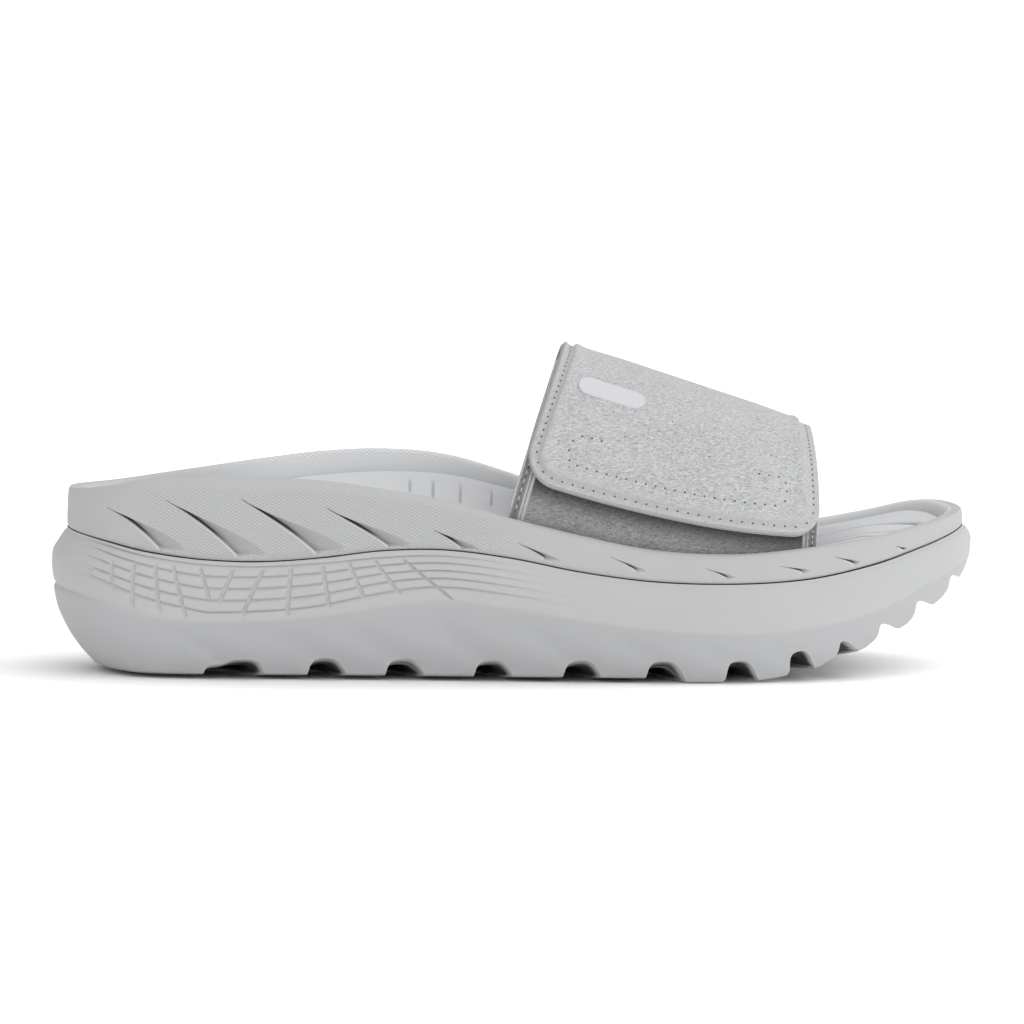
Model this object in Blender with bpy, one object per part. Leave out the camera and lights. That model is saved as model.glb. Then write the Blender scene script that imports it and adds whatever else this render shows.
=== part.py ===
# Recovery sandal for the right foot: a lugged outsole, a rimmed midsole, an insole and a strap upper.
# Sizes are in millimetres here and become metres where a mesh is made.
# +X points to the toe, -Y is the outer (lateral) side of the foot and +Z is up.

import math
from collections import namedtuple

import bmesh
import bpy
import numpy as np

OBJECT_NAME = "recovery_sandal"
MM = 0.001
GAP = 0.3

# Driving sizes of the last and the sole
LENGTH = 270.0
COLUMNS_PER_SIDE = 46
SPINE_FROM = 36.0
SPINE_TO = 232.0
INSOLE_THICKNESS = 4.0
MIDSOLE_LIP = 0.7
SHELF_INSET = 3.4
SHELF_COVER = 2.2
RIB_STEP = 0.6
RIB_FADE_FROM = 105.0
RIB_FADE_TO = 155.0
HEEL_BEND = 34.0
TOE_BEND = 52.0
RIM_UPRIGHT = 0.8
RIM_UPRIGHT_HEEL = 24.0
RIM_UPRIGHT_TOE = 20.0

# Toe spring: the underside leaves the floor at TOE_SPRING_FROM and rises as a parabola
TOE_SPRING_FROM = 196.0
TOE_SPRING_RUN = 70.0
TOE_SPRING_RISE = 26.0

# Lug channels run in from the edge and slant back to the heel
CHANNEL_SLANT = math.radians(18.0)
CHANNEL_OUTSIDE = 8.0
CHANNEL_INNER_SCALE = 0.62
CHANNEL_SINK = 0.4

# Strap sizes: the arch is a superellipse from root to root, its top line falls to the toe
STRAP_POWER = 2.5
STRAP_REAR_ROOT = 132.3
STRAP_REAR_LEAN = 16.5
STRAP_REAR_CURVE = 1.45
STRAP_REAR_BOW = 1.5
STRAP_MEDIAL_SHIFT = 3.2
STRAP_FRONT_ROOT = 222.4
STRAP_FRONT_BOW = 4.0
STRAP_FRONT_LEAN = 0.3
STRAP_TOP_REAR = 91.5
STRAP_TOP_REAR_AT = 153.0
STRAP_TOP_SLOPE = 0.338
STRAP_PEAK_SHIFT = 4.0
STRAP_WALL = 2.8
STRAP_BORDER_WALL = 1.9
STRAP_BORDER_WIDTH = 4.5
STRAP_BORDER_STEP = 1.4
STRAP_SPAN = 88.0
STRAP_SEAT = 0.5
TAB_WALL = 2.4
TAB_END = math.radians(74.0)
FLAP_STANDOFF = 0.9
LIFT_FROM = math.radians(84.0)
LIFT_TO = math.radians(118.0)
FLAP_FRONT_HEIGHT = 41.4
FLAP_REAR_RISE = 17.3
FLAP_SWEEP = 1.6
FLAP_REAR_RADIUS = 10.0
FLAP_FRONT_RADIUS = 7.0
PAD_REACH = math.radians(66.0)
PAD_MARGIN = 9.0
PAD_BITE = 0.7

# Widest outline in plan: half_width on both sides of a centre line that swings to the big toe
OutlineRow = namedtuple("OutlineRow", "from_heel centre half_width")
OUTLINE = (
    OutlineRow(0, 0.0, 0.0),
    OutlineRow(5, 0.0, 19.5),
    OutlineRow(18, 0.0, 32.0),
    OutlineRow(40, 0.0, 38.0),
    OutlineRow(70, -1.0, 39.5),
    OutlineRow(105, -3.0, 40.0),
    OutlineRow(140, -3.5, 43.5),
    OutlineRow(175, -1.0, 49.0),
    OutlineRow(200, 1.0, 51.5),
    OutlineRow(225, 4.0, 49.0),
    OutlineRow(245, 6.5, 41.0),
    OutlineRow(258, 8.0, 30.5),
    OutlineRow(266, 8.5, 18.5),
    OutlineRow(270, 8.5, 0.0),
)

# Heights above the floor for each section from heel to toe; band is the lower line of the ribbed band,
# footbed the insole's centre, edge_drop how far the insole's edge lies below the rim
SectionRow = namedtuple(
    "SectionRow",
    "from_heel seam_lateral seam_medial rim_lateral rim_medial band footbed edge_drop rim_width seam_inset",
)
SECTIONS = (
    SectionRow(0, 42.0, 42.0, 53.6, 53.6, 25.5, 46.0, 7.5, 8.0, 4.6),
    SectionRow(15, 39.4, 39.4, 54.8, 53.7, 22.5, 46.0, 7.5, 8.0, 4.2),
    SectionRow(30, 36.6, 36.8, 56.6, 55.2, 18.5, 45.6, 7.5, 7.6, 3.9),
    SectionRow(45, 34.9, 35.4, 58.0, 57.0, 17.0, 45.2, 7.3, 7.0, 3.6),
    SectionRow(62, 34.4, 35.3, 58.4, 59.3, 17.4, 44.7, 7.0, 6.5, 3.4),
    SectionRow(80, 35.7, 37.2, 58.0, 61.4, 19.0, 44.2, 6.8, 6.2, 3.2),
    SectionRow(98, 37.9, 40.0, 55.6, 62.1, 22.0, 43.2, 6.5, 6.0, 3.0),
    SectionRow(114, 38.3, 41.0, 52.8, 60.6, 23.8, 41.6, 5.8, 5.8, 3.0),
    SectionRow(134, 36.1, 39.0, 47.6, 54.6, 21.8, 39.2, 4.6, 5.5, 3.0),
    SectionRow(154, 32.3, 34.7, 42.8, 46.8, 18.5, 37.0, 3.4, 5.5, 3.0),
    SectionRow(174, 29.7, 31.3, 38.9, 41.5, 16.0, 35.5, 2.6, 5.5, 3.0),
    SectionRow(198, 28.9, 29.4, 37.5, 39.2, 14.8, 35.0, 2.2, 5.5, 3.0),
    SectionRow(222, 30.0, 30.0, 39.0, 39.4, 16.3, 36.6, 2.3, 5.8, 2.9),
    SectionRow(240, 33.1, 33.1, 41.2, 42.3, 20.2, 39.2, 2.8, 6.0, 2.7),
    SectionRow(256, 37.4, 37.4, 44.2, 46.1, 27.0, 41.5, 3.5, 5.8, 2.5),
    SectionRow(270, 41.8, 41.8, 46.5, 46.5, 33.0, 42.0, 3.8, 5.6, 2.5),
)

# Outsole wall, as insets from the widest outline at the sides, the heel and the toe;
# fraction runs from floor to band line in LOWER_WALL and from band line to seam in UPPER_WALL
WallRow = namedtuple("WallRow", "fraction side heel toe rib")
LOWER_WALL = (
    WallRow(0.00, 6.0, 13.0, 3.6, 0),
    WallRow(0.22, 4.2, 8.2, 2.7, 0),
    WallRow(0.45, 2.7, 4.5, 1.8, 0),
    WallRow(0.75, 1.5, 1.4, 1.0, 0),
    WallRow(0.96, 0.6, 0.6, 0.5, 0),
)
UPPER_WALL = (
    WallRow(0.00, 0.2, 1.5, 0.4, 0),
    WallRow(0.06, 0.0, 0.6, 0.3, 0),
    WallRow(0.13, 0.0, 0.3, 0.3, 1),
    WallRow(0.17, 0.1, 0.2, 0.3, 0),
    WallRow(0.32, 0.2, 0.0, 0.1, 1),
    WallRow(0.36, 0.3, 0.0, 0.1, 0),
    WallRow(0.52, 0.6, 0.0, 0.0, 1),
    WallRow(0.56, 0.7, 0.2, 0.0, 0),
    WallRow(0.72, 1.3, 1.6, 0.5, 1),
    WallRow(0.76, 1.5, 2.0, 0.6, 0),
    WallRow(0.90, 2.3, 3.5, 1.5, 0),
)

# Midsole wall and rim: inset runs from the wall (0) to the inner face of the rim (1),
# fraction from the seam (0) to the rim's crest (1)
RimRow = namedtuple("RimRow", "inset fraction")
RIM_OUTSIDE = (
    RimRow(-0.02, 0.12),
    RimRow(0.06, 0.50),
    RimRow(0.16, 0.80),
    RimRow(0.30, 0.95),
    RimRow(0.52, 1.00),
)
RIM_INSIDE = (
    RimRow(0.76, 0.90),
    RimRow(0.90, 0.55),
    RimRow(0.97, 0.00),
)

# Rings of the footbed from its edge (0) to the spine (1), with the share of the edge's height kept
FootbedRow = namedtuple("FootbedRow", "inward edge_share")
FOOTBED = (
    FootbedRow(0.00, 1.00),
    FootbedRow(0.22, 0.62),
    FootbedRow(0.55, 0.20),
    FootbedRow(1.00, 0.00),
)

# Channels between the lugs; reach is how far each runs in from the edge, None runs right across
ChannelRow = namedtuple("ChannelRow", "from_heel width height reach")
CHANNELS = (
    ChannelRow(56.3, 19.0, 6.6, 29.0),
    ChannelRow(83.4, 14.5, 6.9, 29.0),
    ChannelRow(106.0, 14.5, 6.9, 29.0),
    ChannelRow(131.6, 14.2, 6.9, 30.0),
    ChannelRow(157.2, 14.0, 6.8, 32.0),
    ChannelRow(180.9, 13.6, 6.6, 35.0),
    ChannelRow(203.0, 11.6, 6.6, 36.0),
    ChannelRow(220.6, 9.2, 6.4, 34.0),
    ChannelRow(234.2, 7.4, 5.6, 28.0),
    ChannelRow(244.6, 6.2, 4.6, None),
    ChannelRow(255.2, 5.6, 4.2, None),
    ChannelRow(264.4, 4.2, 3.0, None),
)

# Slashes in the midsole wall: a tip up the wall that widens to a foot near the seam
SlashRow = namedtuple("SlashRow", "tip_from_heel tip_height foot_from_heel foot_width foot_height")
SLASHES = (
    SlashRow(16.1, 0.62, 31.7, 8.2, 0.14),
    SlashRow(33.2, 0.71, 54.6, 8.5, 0.10),
    SlashRow(55.2, 0.74, 77.8, 8.5, 0.10),
    SlashRow(80.4, 0.63, 98.9, 6.2, 0.12),
    SlashRow(111.8, 0.36, 120.3, 5.3, 0.10),
    SlashRow(136.5, 0.42, 144.7, 4.7, 0.12),
    SlashRow(163.8, 0.55, 171.0, 3.2, 0.24),
)
SLASH_DEPTH = 1.8
SLASH_SHALLOW = 0.7
SLASH_TIP_DEPTH = 0.2
SLASH_OUTSIDE = 4.0


def angle_at(from_heel):
    return np.arccos(np.clip(1.0 - 2.0 * np.asarray(from_heel, float) / LENGTH, -1.0, 1.0))


def station_at(angle):
    return 0.5 * LENGTH * (1.0 - np.cos(angle))


def smooth_column(rows, column, level_ends):
    # cubic through a table's column, over the station's angle so that round ends stay round
    knots = angle_at([row.from_heel for row in rows])
    values = np.array([getattr(row, column) for row in rows], float)
    slopes = np.gradient(values, knots)
    if level_ends:
        slopes[0] = 0.0
        slopes[-1] = 0.0

    def value(from_heel):
        angle = angle_at(from_heel)
        index = np.clip(np.searchsorted(knots, angle) - 1, 0, len(knots) - 2)
        step = knots[index + 1] - knots[index]
        t = (angle - knots[index]) / step
        rise = values[index + 1] - values[index]
        start = slopes[index] * step
        end = slopes[index + 1] * step
        return values[index] + t * (start + t * (3 * rise - 2 * start - end + t * (start + end - 2 * rise)))

    return value


centre_line = smooth_column(OUTLINE, "centre", True)
half_width = smooth_column(OUTLINE, "half_width", False)
section = {name: smooth_column(SECTIONS, name, True) for name in SectionRow._fields if name != "from_heel"}


def smooth_step(value, start, end):
    t = np.clip((np.asarray(value, float) - start) / (end - start), 0.0, 1.0)
    return t * t * (3.0 - 2.0 * t)


def plan_point(turn):
    # turn 0 is the heel, half a turn the toe; the lateral side comes first
    angle = np.where(turn <= math.pi, turn, 2.0 * math.pi - turn)
    station = station_at(angle)
    side = np.where(np.sin(turn) >= 0.0, -1.0, 1.0)
    return np.stack([station, centre_line(station) + side * half_width(station)], axis=-1)


def plan_inward(turn):
    step = 1e-3
    along = plan_point((turn + step) % (2.0 * math.pi)) - plan_point((turn - step) % (2.0 * math.pi))
    along /= np.linalg.norm(along, axis=-1, keepdims=True)
    return np.stack([-along[..., 1], along[..., 0]], axis=-1)


# Columns around the outline, shared by every loft of the sole
QUARTER = np.linspace(0.0, math.pi, COLUMNS_PER_SIDE + 1)
TURN = np.concatenate([QUARTER, 2.0 * math.pi - QUARTER[-2:0:-1]])
STATION = station_at(np.where(TURN <= math.pi, TURN, 2.0 * math.pi - TURN))
MEDIAL = TURN > math.pi
PLAN = plan_point(TURN)
INWARD = plan_inward(TURN)
SPINE_STATION = np.clip(STATION, SPINE_FROM, SPINE_TO)
SPINE = np.stack([SPINE_STATION, centre_line(SPINE_STATION)], axis=-1)
CENTRE_Y = 0.5 * (PLAN[:, 1].min() + PLAN[:, 1].max())


def by_side(name, station, medial):
    return np.where(medial, section[name + "_medial"](station), section[name + "_lateral"](station))


def seam_height(station, medial):
    return by_side("seam", station, medial)


def rim_height(station, medial):
    return by_side("rim", station, medial)


def footbed_edge(station, medial):
    return rim_height(station, medial) - section["edge_drop"](station)


def recess_edge(station, medial):
    return footbed_edge(station, medial) - INSOLE_THICKNESS - GAP


def underside(station):
    run = np.clip(np.asarray(station, float) - TOE_SPRING_FROM, 0.0, None) / TOE_SPRING_RUN
    return TOE_SPRING_RISE * run * run


def inset_ring(inset, height):
    plan = PLAN + INWARD * np.asarray(inset).reshape(-1, 1)
    return np.column_stack([plan, np.broadcast_to(height, len(plan))])


def toward_spine(ring, inward, height):
    plan = ring[:, :2] + (SPINE - ring[:, :2]) * inward
    return np.column_stack([plan, np.broadcast_to(height, len(plan))])


def collection_named(name):
    collection = bpy.data.collections.new(name)
    bpy.context.scene.collection.children.link(collection)
    return collection


def add_object(name, bm, collection):
    mesh = bpy.data.meshes.new(name)
    bmesh.ops.recalc_face_normals(bm, faces=bm.faces)
    bm.to_mesh(mesh)
    bm.free()
    obj = bpy.data.objects.new(name, mesh)
    collection.objects.link(obj)
    return obj


def to_frame(points):
    # from station, side and height in millimetres to the part's frame in metres
    return (np.asarray(points, float) - (0.5 * LENGTH, CENTRE_Y, 0.0)) * MM


def add_loft(bm, rings):
    # a grid wrapped round closed rings; rings that fold onto a line close the ends
    rings = to_frame(rings)
    row_count, column_count = rings.shape[:2]
    grid = bmesh.ops.create_grid(bm, x_segments=column_count, y_segments=row_count - 1, size=0.5)
    for vert in grid["verts"]:
        column = round((vert.co.x + 0.5) * column_count) % column_count
        row = round((vert.co.y + 0.5) * (row_count - 1))
        vert.co = rings[row, column]
    bmesh.ops.remove_doubles(bm, verts=grid["verts"], dist=1e-6)
    bmesh.ops.dissolve_degenerate(bm, dist=1e-7, edges=bm.edges)
    # facing surfaces split the same way, so their gap stays even
    bmesh.ops.triangulate(bm, faces=bm.faces, quad_method="SHORT_EDGE")


def loft(name, rings, collection):
    bm = bmesh.new()
    add_loft(bm, np.array(rings))
    return add_object(name, bm, collection)


def boolean(target, tool, operation):
    modifier = target.modifiers.new(tool.name, "BOOLEAN")
    modifier.operation = operation
    modifier.object = tool
    modifier.solver = "EXACT"
    return modifier


def as_cutter(obj):
    obj.hide_render = True
    obj.display_type = "WIRE"
    return obj


def paint(obj, name, colour, roughness):
    material = bpy.data.materials.new(name)
    material.use_nodes = True
    shader = material.node_tree.nodes["Principled BSDF"]
    shader.inputs["Base Color"].default_value = (*colour, 1.0)
    shader.inputs["Roughness"].default_value = roughness
    obj.data.materials.append(material)


def seam_rings(edge_inset, lift):
    # the surface where outsole and midsole meet: edge, shelf inside the lip, and spine
    seam = seam_height(STATION, MEDIAL)
    shelf = np.minimum(seam - 0.5, recess_edge(STATION, MEDIAL) - SHELF_COVER)
    both = 0.5 * (seam_height(SPINE_STATION, False) + seam_height(SPINE_STATION, True))
    floor = section["footbed"](SPINE_STATION) - INSOLE_THICKNESS - GAP
    spine = np.minimum(both, floor - SHELF_COVER)
    edge_ring = inset_ring(edge_inset, seam + lift)
    shelf_ring = inset_ring(section["seam_inset"](STATION) + SHELF_INSET + lift, shelf + lift)
    return edge_ring, shelf_ring, toward_spine(shelf_ring, 1.0, spine + lift)


def outsole_wall(rows, low, high, heel_share, toe_share):
    ribs = RIB_STEP * (1.0 - smooth_step(STATION, RIB_FADE_FROM, RIB_FADE_TO))
    rings = []
    for row in rows:
        inset = row.side + (row.heel - row.side) * heel_share + (row.toe - row.side) * toe_share
        rings.append(inset_ring(inset + ribs * row.rib, low + (high - low) * row.fraction))
    return rings


def build_outsole(collection):
    heel_share = 1.0 - smooth_step(STATION, 0.0, HEEL_BEND)
    toe_share = smooth_step(STATION, LENGTH - TOE_BEND, LENGTH)
    foot = LOWER_WALL[0]
    foot_inset = foot.side + (foot.heel - foot.side) * heel_share + (foot.toe - foot.side) * toe_share
    foot_ring = inset_ring(foot_inset, 0.0)
    floor = underside(foot_ring[:, 0])
    band = section["band"](STATION)
    seam = seam_height(STATION, MEDIAL)
    edge_ring, shelf_ring, spine_ring = seam_rings(section["seam_inset"](STATION), 0.0)
    rings = []
    for inward in (1.0, 0.66, 0.33):
        ring = toward_spine(foot_ring, inward, 0.0)
        ring[:, 2] = underside(ring[:, 0])
        rings.append(ring)
    rings += outsole_wall(LOWER_WALL, floor, band, heel_share, toe_share)
    rings += outsole_wall(UPPER_WALL, band, seam, heel_share, toe_share)
    rings += [edge_ring, shelf_ring, spine_ring]
    return loft("outsole", rings, collection)


def rim_lean(station):
    # the wall stands more upright round the heel and the toe
    heel = 1.0 - smooth_step(station, 0.0, RIM_UPRIGHT_HEEL)
    toe = smooth_step(station, LENGTH - RIM_UPRIGHT_TOE, LENGTH)
    return 1.0 - RIM_UPRIGHT * np.maximum(heel, toe)


def rim_rings(rows, low, high, lean=1.0):
    width = section["rim_width"](STATION) * lean
    wall = section["seam_inset"](STATION)
    return [inset_ring(wall + width * row.inset, low + (high - low) * row.fraction) for row in rows]


def footbed_rings(edge_inset, drop, rows=FOOTBED):
    edge = footbed_edge(STATION, MEDIAL) - drop
    centre = section["footbed"](SPINE_STATION) - drop
    start = inset_ring(edge_inset, edge)
    return [toward_spine(start, row.inward, centre + (edge - centre) * row.edge_share) for row in rows]


def build_midsole(collection):
    seam = seam_height(STATION, MEDIAL)
    rim = rim_height(STATION, MEDIAL)
    wall = section["seam_inset"](STATION)
    edge_ring, shelf_ring, spine_ring = seam_rings(wall + MIDSOLE_LIP, GAP)
    rings = [spine_ring, shelf_ring, edge_ring]
    rings += rim_rings(RIM_OUTSIDE, seam + GAP, rim, rim_lean(STATION))
    rings += rim_rings(RIM_INSIDE, footbed_edge(STATION, MEDIAL), rim)
    rings += footbed_rings(wall + section["rim_width"](STATION), INSOLE_THICKNESS + GAP)
    return loft("midsole", rings, collection)


def build_insole(collection):
    edge_inset = section["seam_inset"](STATION) + section["rim_width"](STATION) + GAP
    below = footbed_rings(edge_inset, INSOLE_THICKNESS)
    side = inset_ring(edge_inset, footbed_edge(STATION, MEDIAL) - 0.9)
    above = footbed_rings(edge_inset + 0.8, 0.0)
    return loft("insole", below[::-1] + [side] + above, collection)


def wall_point(from_heel, medial, height, depth):
    # a point on the midsole's wall, depth millimetres under its surface
    turn = angle_at(from_heel)
    turn = np.where(medial, 2.0 * math.pi - turn, turn)
    shares = [row.fraction for row in RIM_OUTSIDE]
    lean = np.interp(height, shares, [row.inset for row in RIM_OUTSIDE])
    lean = lean * rim_lean(from_heel)
    inset = section["seam_inset"](from_heel) + section["rim_width"](from_heel) * lean + depth
    plan = plan_point(turn) + plan_inward(turn) * inset
    seam = seam_height(from_heel, medial)
    return (*plan, seam + (rim_height(from_heel, medial) - seam) * height)


def build_slashes(collection):
    bm = bmesh.new()
    for row in SLASHES:
        corners = (
            (row.tip_from_heel, row.tip_height, SLASH_TIP_DEPTH),
            (row.foot_from_heel, row.foot_height, SLASH_DEPTH),
            (row.foot_from_heel + row.foot_width, row.foot_height, SLASH_SHALLOW),
        )
        for medial in (False, True):
            wedge = bmesh.ops.create_cone(
                bm, cap_ends=True, segments=3, radius1=1.0, radius2=1.0, depth=2.0
            )["verts"]
            outer = [vert for vert in wedge if vert.co.z < 0.0]
            inner = [vert for vert in wedge if vert.co.z > 0.0]
            inner.sort(key=lambda vert: math.atan2(vert.co.y, vert.co.x))
            outer.sort(key=lambda vert: math.atan2(vert.co.y, vert.co.x))
            for corner, below, above in zip(corners, inner, outer):
                from_heel, height, depth = corner
                below.co = to_frame(wall_point(from_heel, medial, height, depth))
                above.co = to_frame(wall_point(from_heel, medial, height, -SLASH_OUTSIDE))
    return as_cutter(add_object("slash_cuts", bm, collection))


def channel_rings(row, medial):
    # a half-round channel across the underside, narrower toward its inner end
    sides = np.linspace(0.0, 2.0 * math.pi, 14, endpoint=False)
    slope = math.atan2(
        float(underside(row.from_heel + 1.0) - underside(row.from_heel - 1.0)), 2.0
    )
    turn = float(angle_at(row.from_heel))
    edges = (plan_point(np.array(turn))[1], plan_point(np.array(2.0 * math.pi - turn))[1])
    if row.reach is None:
        ends = ((edges[0] - CHANNEL_OUTSIDE, 1.0), (edges[1] + CHANNEL_OUTSIDE, 1.0))
        slant = 0.0
        edge = edges[0]
    else:
        edge = edges[1] if medial else edges[0]
        inward = -1.0 if medial else 1.0
        ends = (
            (edge - inward * CHANNEL_OUTSIDE, 1.0),
            (edge + inward * row.reach, CHANNEL_INNER_SCALE),
        )
        slant = math.tan(CHANNEL_SLANT)
    rings = []
    for side, scale in ends:
        back = slant * (abs(side - edge) if scale < 1.0 else -CHANNEL_OUTSIDE)
        along = 0.5 * row.width * scale * np.cos(sides)
        up = (row.height + CHANNEL_SINK) * scale * np.sin(sides) - CHANNEL_SINK
        ring = np.stack(
            [
                row.from_heel - back + along * math.cos(slope) - up * math.sin(slope),
                np.full(len(sides), side),
                underside(row.from_heel) + along * math.sin(slope) + up * math.cos(slope),
            ],
            axis=-1,
        )
        rings += [ring]
    first = np.broadcast_to(rings[0].mean(axis=0), rings[0].shape)
    last = np.broadcast_to(rings[1].mean(axis=0), rings[1].shape)
    return np.array([first, rings[0], rings[1], last])


def build_channels(collection):
    bm = bmesh.new()
    for row in CHANNELS:
        add_loft(bm, channel_rings(row, False))
        if row.reach is not None:
            add_loft(bm, channel_rings(row, True))
    return as_cutter(add_object("lug_channels", bm, collection))


def strap_base(share, turn):
    # the strap's reference surface: share 0 to 1 from rear edge to front edge,
    # turn 0 to pi over the foot from the lateral root to the medial root
    flat = np.abs(np.cos(turn)) ** (2.0 / STRAP_POWER)
    high = np.abs(np.sin(turn)) ** (2.0 / STRAP_POWER)
    medial = turn > 0.5 * math.pi
    rear = STRAP_REAR_ROOT + STRAP_REAR_LEAN * high**STRAP_REAR_CURVE
    rear = rear + STRAP_REAR_BOW * 4.0 * high * (1.0 - high)
    rear = rear + np.where(medial, STRAP_MEDIAL_SHIFT * (1.0 - high), 0.0)
    front = STRAP_FRONT_ROOT + STRAP_FRONT_BOW * high * (1.0 - high) - STRAP_FRONT_LEAN * high**3
    station = rear + (front - rear) * share
    inset = section["seam_inset"](station) + section["rim_width"](station) + STRAP_SEAT
    root_turn = angle_at(station)
    root_turn = np.where(medial, 2.0 * math.pi - root_turn, root_turn)
    root = plan_point(root_turn)[..., 1] + inset / plan_inward(root_turn)[..., 1]
    peak = centre_line(station) + STRAP_PEAK_SHIFT
    low = recess_edge(station, medial) + GAP
    top = STRAP_TOP_REAR - STRAP_TOP_SLOPE * (station - STRAP_TOP_REAR_AT)
    return np.stack([station, peak + (root - peak) * flat, low + (top - low) * high], axis=-1)


def strap_layer(share, turn, lift):
    # the reference surface moved outward by lift
    step = 1e-3
    turn = np.clip(turn, 2.0 * step, math.pi - 2.0 * step)
    along = strap_base(share + step, turn) - strap_base(share - step, turn)
    over = strap_base(share, turn + step) - strap_base(share, turn - step)
    outward = np.cross(along, over)
    outward /= np.linalg.norm(outward, axis=-1, keepdims=True)
    return strap_base(share, turn) + outward * np.asarray(lift)[..., None]


def flap_turn(share):
    # where the flap's free edge lies over the lateral side, with rounded corners
    share = np.asarray(share, float)
    height = FLAP_FRONT_HEIGHT + FLAP_REAR_RISE * (1.0 - np.clip(share, 0.0, 1.0)) ** FLAP_SWEEP
    for distance, radius in (
        (share * STRAP_SPAN, FLAP_REAR_RADIUS),
        ((1.0 - share) * STRAP_SPAN, FLAP_FRONT_RADIUS),
    ):
        short = np.clip(radius - distance, 0.0, radius)
        height = height + radius - np.sqrt(radius * radius - short * short)
    turns = np.linspace(0.02, 0.5 * math.pi, 240)
    found = [np.interp(z, strap_base(s, turns)[:, 2], turns) for s, z in zip(share, height)]
    return np.array(found)


def strap_rows(start, end, count):
    # turns spaced evenly along the arch
    turns = np.linspace(start, end, 400)
    points = strap_base(np.full(400, 0.5), turns)
    run = np.concatenate([[0.0], np.cumsum(np.linalg.norm(np.diff(points, axis=0), axis=1))])
    return np.interp(np.linspace(0.0, run[-1], count), run, turns), run[-1]


def shell_rings(shares, turns, inner, outer):
    # closed rings across a wall, one for each share; folded end rings close its edges
    rings = []
    for share, turn, low, high in zip(shares, turns, inner, outer):
        spread = np.full(len(turn), share)
        inside = strap_layer(spread, turn, low)
        outside = strap_layer(spread, turn, high)
        rings.append(np.concatenate([outside, inside[::-1]]))
    count = rings[0].shape[0] // 2
    ends = []
    for ring in (rings[0], rings[-1]):
        middle = 0.5 * (ring[:count] + ring[count:][::-1])
        ends.append(np.concatenate([middle, middle[::-1]]))
    return [ends[0]] + rings + [ends[1]]


def border_shares():
    edge = STRAP_BORDER_WIDTH / STRAP_SPAN
    step = (STRAP_BORDER_WIDTH + STRAP_BORDER_STEP) / STRAP_SPAN
    corner = np.array([0.0, 0.014, edge, step, 0.115])
    return np.concatenate([corner, [0.25, 0.42, 0.58, 0.75], 1.0 - corner[::-1]])


def strap_lift(turn):
    return FLAP_STANDOFF - (FLAP_STANDOFF + STRAP_WALL) * smooth_step(turn, LIFT_FROM, LIFT_TO)


def build_strap(collection):
    shares = border_shares()
    flap = flap_turn(shares)
    edges = np.minimum(shares, 1.0 - shares) * STRAP_SPAN
    turns, inner, outer = [], [], []
    for start, edge in zip(flap, edges):
        even, run = strap_rows(start, math.pi, 22)
        near = np.array([0.0, STRAP_BORDER_WIDTH, STRAP_BORDER_WIDTH + STRAP_BORDER_STEP])
        row = np.concatenate([np.interp(near, np.linspace(0.0, run, 22), even), even[2:]])
        from_end = np.concatenate([near, np.linspace(0.0, run, 22)[2:]])
        inside = STRAP_BORDER_WIDTH + 0.5 * STRAP_BORDER_STEP
        padded = (edge > inside) & (from_end > inside)
        wall = np.where(padded, STRAP_WALL, STRAP_BORDER_WALL)
        lift = strap_lift(row)
        turns.append(row)
        inner.append(lift)
        outer.append(lift + wall)
    return loft("upper", shell_rings(shares, turns, inner, outer), collection)


def build_tab(collection):
    shares = np.linspace(0.0, 1.0, 11)
    row, _ = strap_rows(0.0, TAB_END, 9)
    turns = [row] * len(shares)
    rings = shell_rings(shares, turns, [np.full(9, -TAB_WALL)] * 11, [np.zeros(9)] * 11)
    return as_cutter(loft("lateral_tab", rings, collection))


def build_fastener(collection):
    # the closed hook-and-loop patch that joins flap and tab
    shares = np.linspace(0.12, 0.88, 8)
    turns, inner, outer = [], [], []
    for start in flap_turn(shares):
        even, run = strap_rows(start, PAD_REACH, 40)
        first = np.interp(PAD_MARGIN, np.linspace(0.0, run, 40), even)
        turns.append(np.linspace(first, PAD_REACH, 4))
        inner.append(np.full(4, -PAD_BITE))
        outer.append(np.full(4, FLAP_STANDOFF + PAD_BITE))
    return as_cutter(loft("fastener_patch", shell_rings(shares, turns, inner, outer), collection))


def build_root_pocket(name, medial, collection):
    # room in the insole's edge for a strap root, GAP wider than the wall on each side
    shares = np.linspace(-0.02, 1.02, 11)
    wall = (STRAP_WALL if medial else TAB_WALL) + GAP
    row, _ = strap_rows(0.0, math.radians(24.0), 4)
    turn = math.pi - row if medial else row
    rings = np.array(shell_rings(shares, [turn] * 11, [np.full(4, -wall)] * 11, [np.full(4, 3.0)] * 11))
    rings[:, [0, -1], 2] -= 3.0
    return as_cutter(loft(name, rings, collection))


def main():
    for obj in list(bpy.data.objects):
        bpy.data.objects.remove(obj, do_unlink=True)
    parts = collection_named(OBJECT_NAME)
    cutters = collection_named("cutters")

    outsole = build_outsole(parts)
    boolean(outsole, build_channels(cutters), "DIFFERENCE")
    midsole = build_midsole(parts)
    boolean(midsole, build_slashes(cutters), "DIFFERENCE")
    insole = build_insole(parts)
    boolean(insole, build_root_pocket("lateral_pocket", False, cutters), "DIFFERENCE")
    boolean(insole, build_root_pocket("medial_pocket", True, cutters), "DIFFERENCE")
    upper = build_strap(parts)
    boolean(upper, build_fastener(cutters), "UNION")
    boolean(upper, build_tab(cutters), "UNION")

    paint(outsole, "moulded_foam_lower", (0.47, 0.47, 0.48), 0.72)
    paint(midsole, "moulded_foam_upper", (0.50, 0.50, 0.51), 0.70)
    paint(insole, "footbed_foam", (0.52, 0.52, 0.53), 0.80)
    paint(upper, "napped_strap", (0.55, 0.55, 0.56), 0.92)


main()
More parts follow.
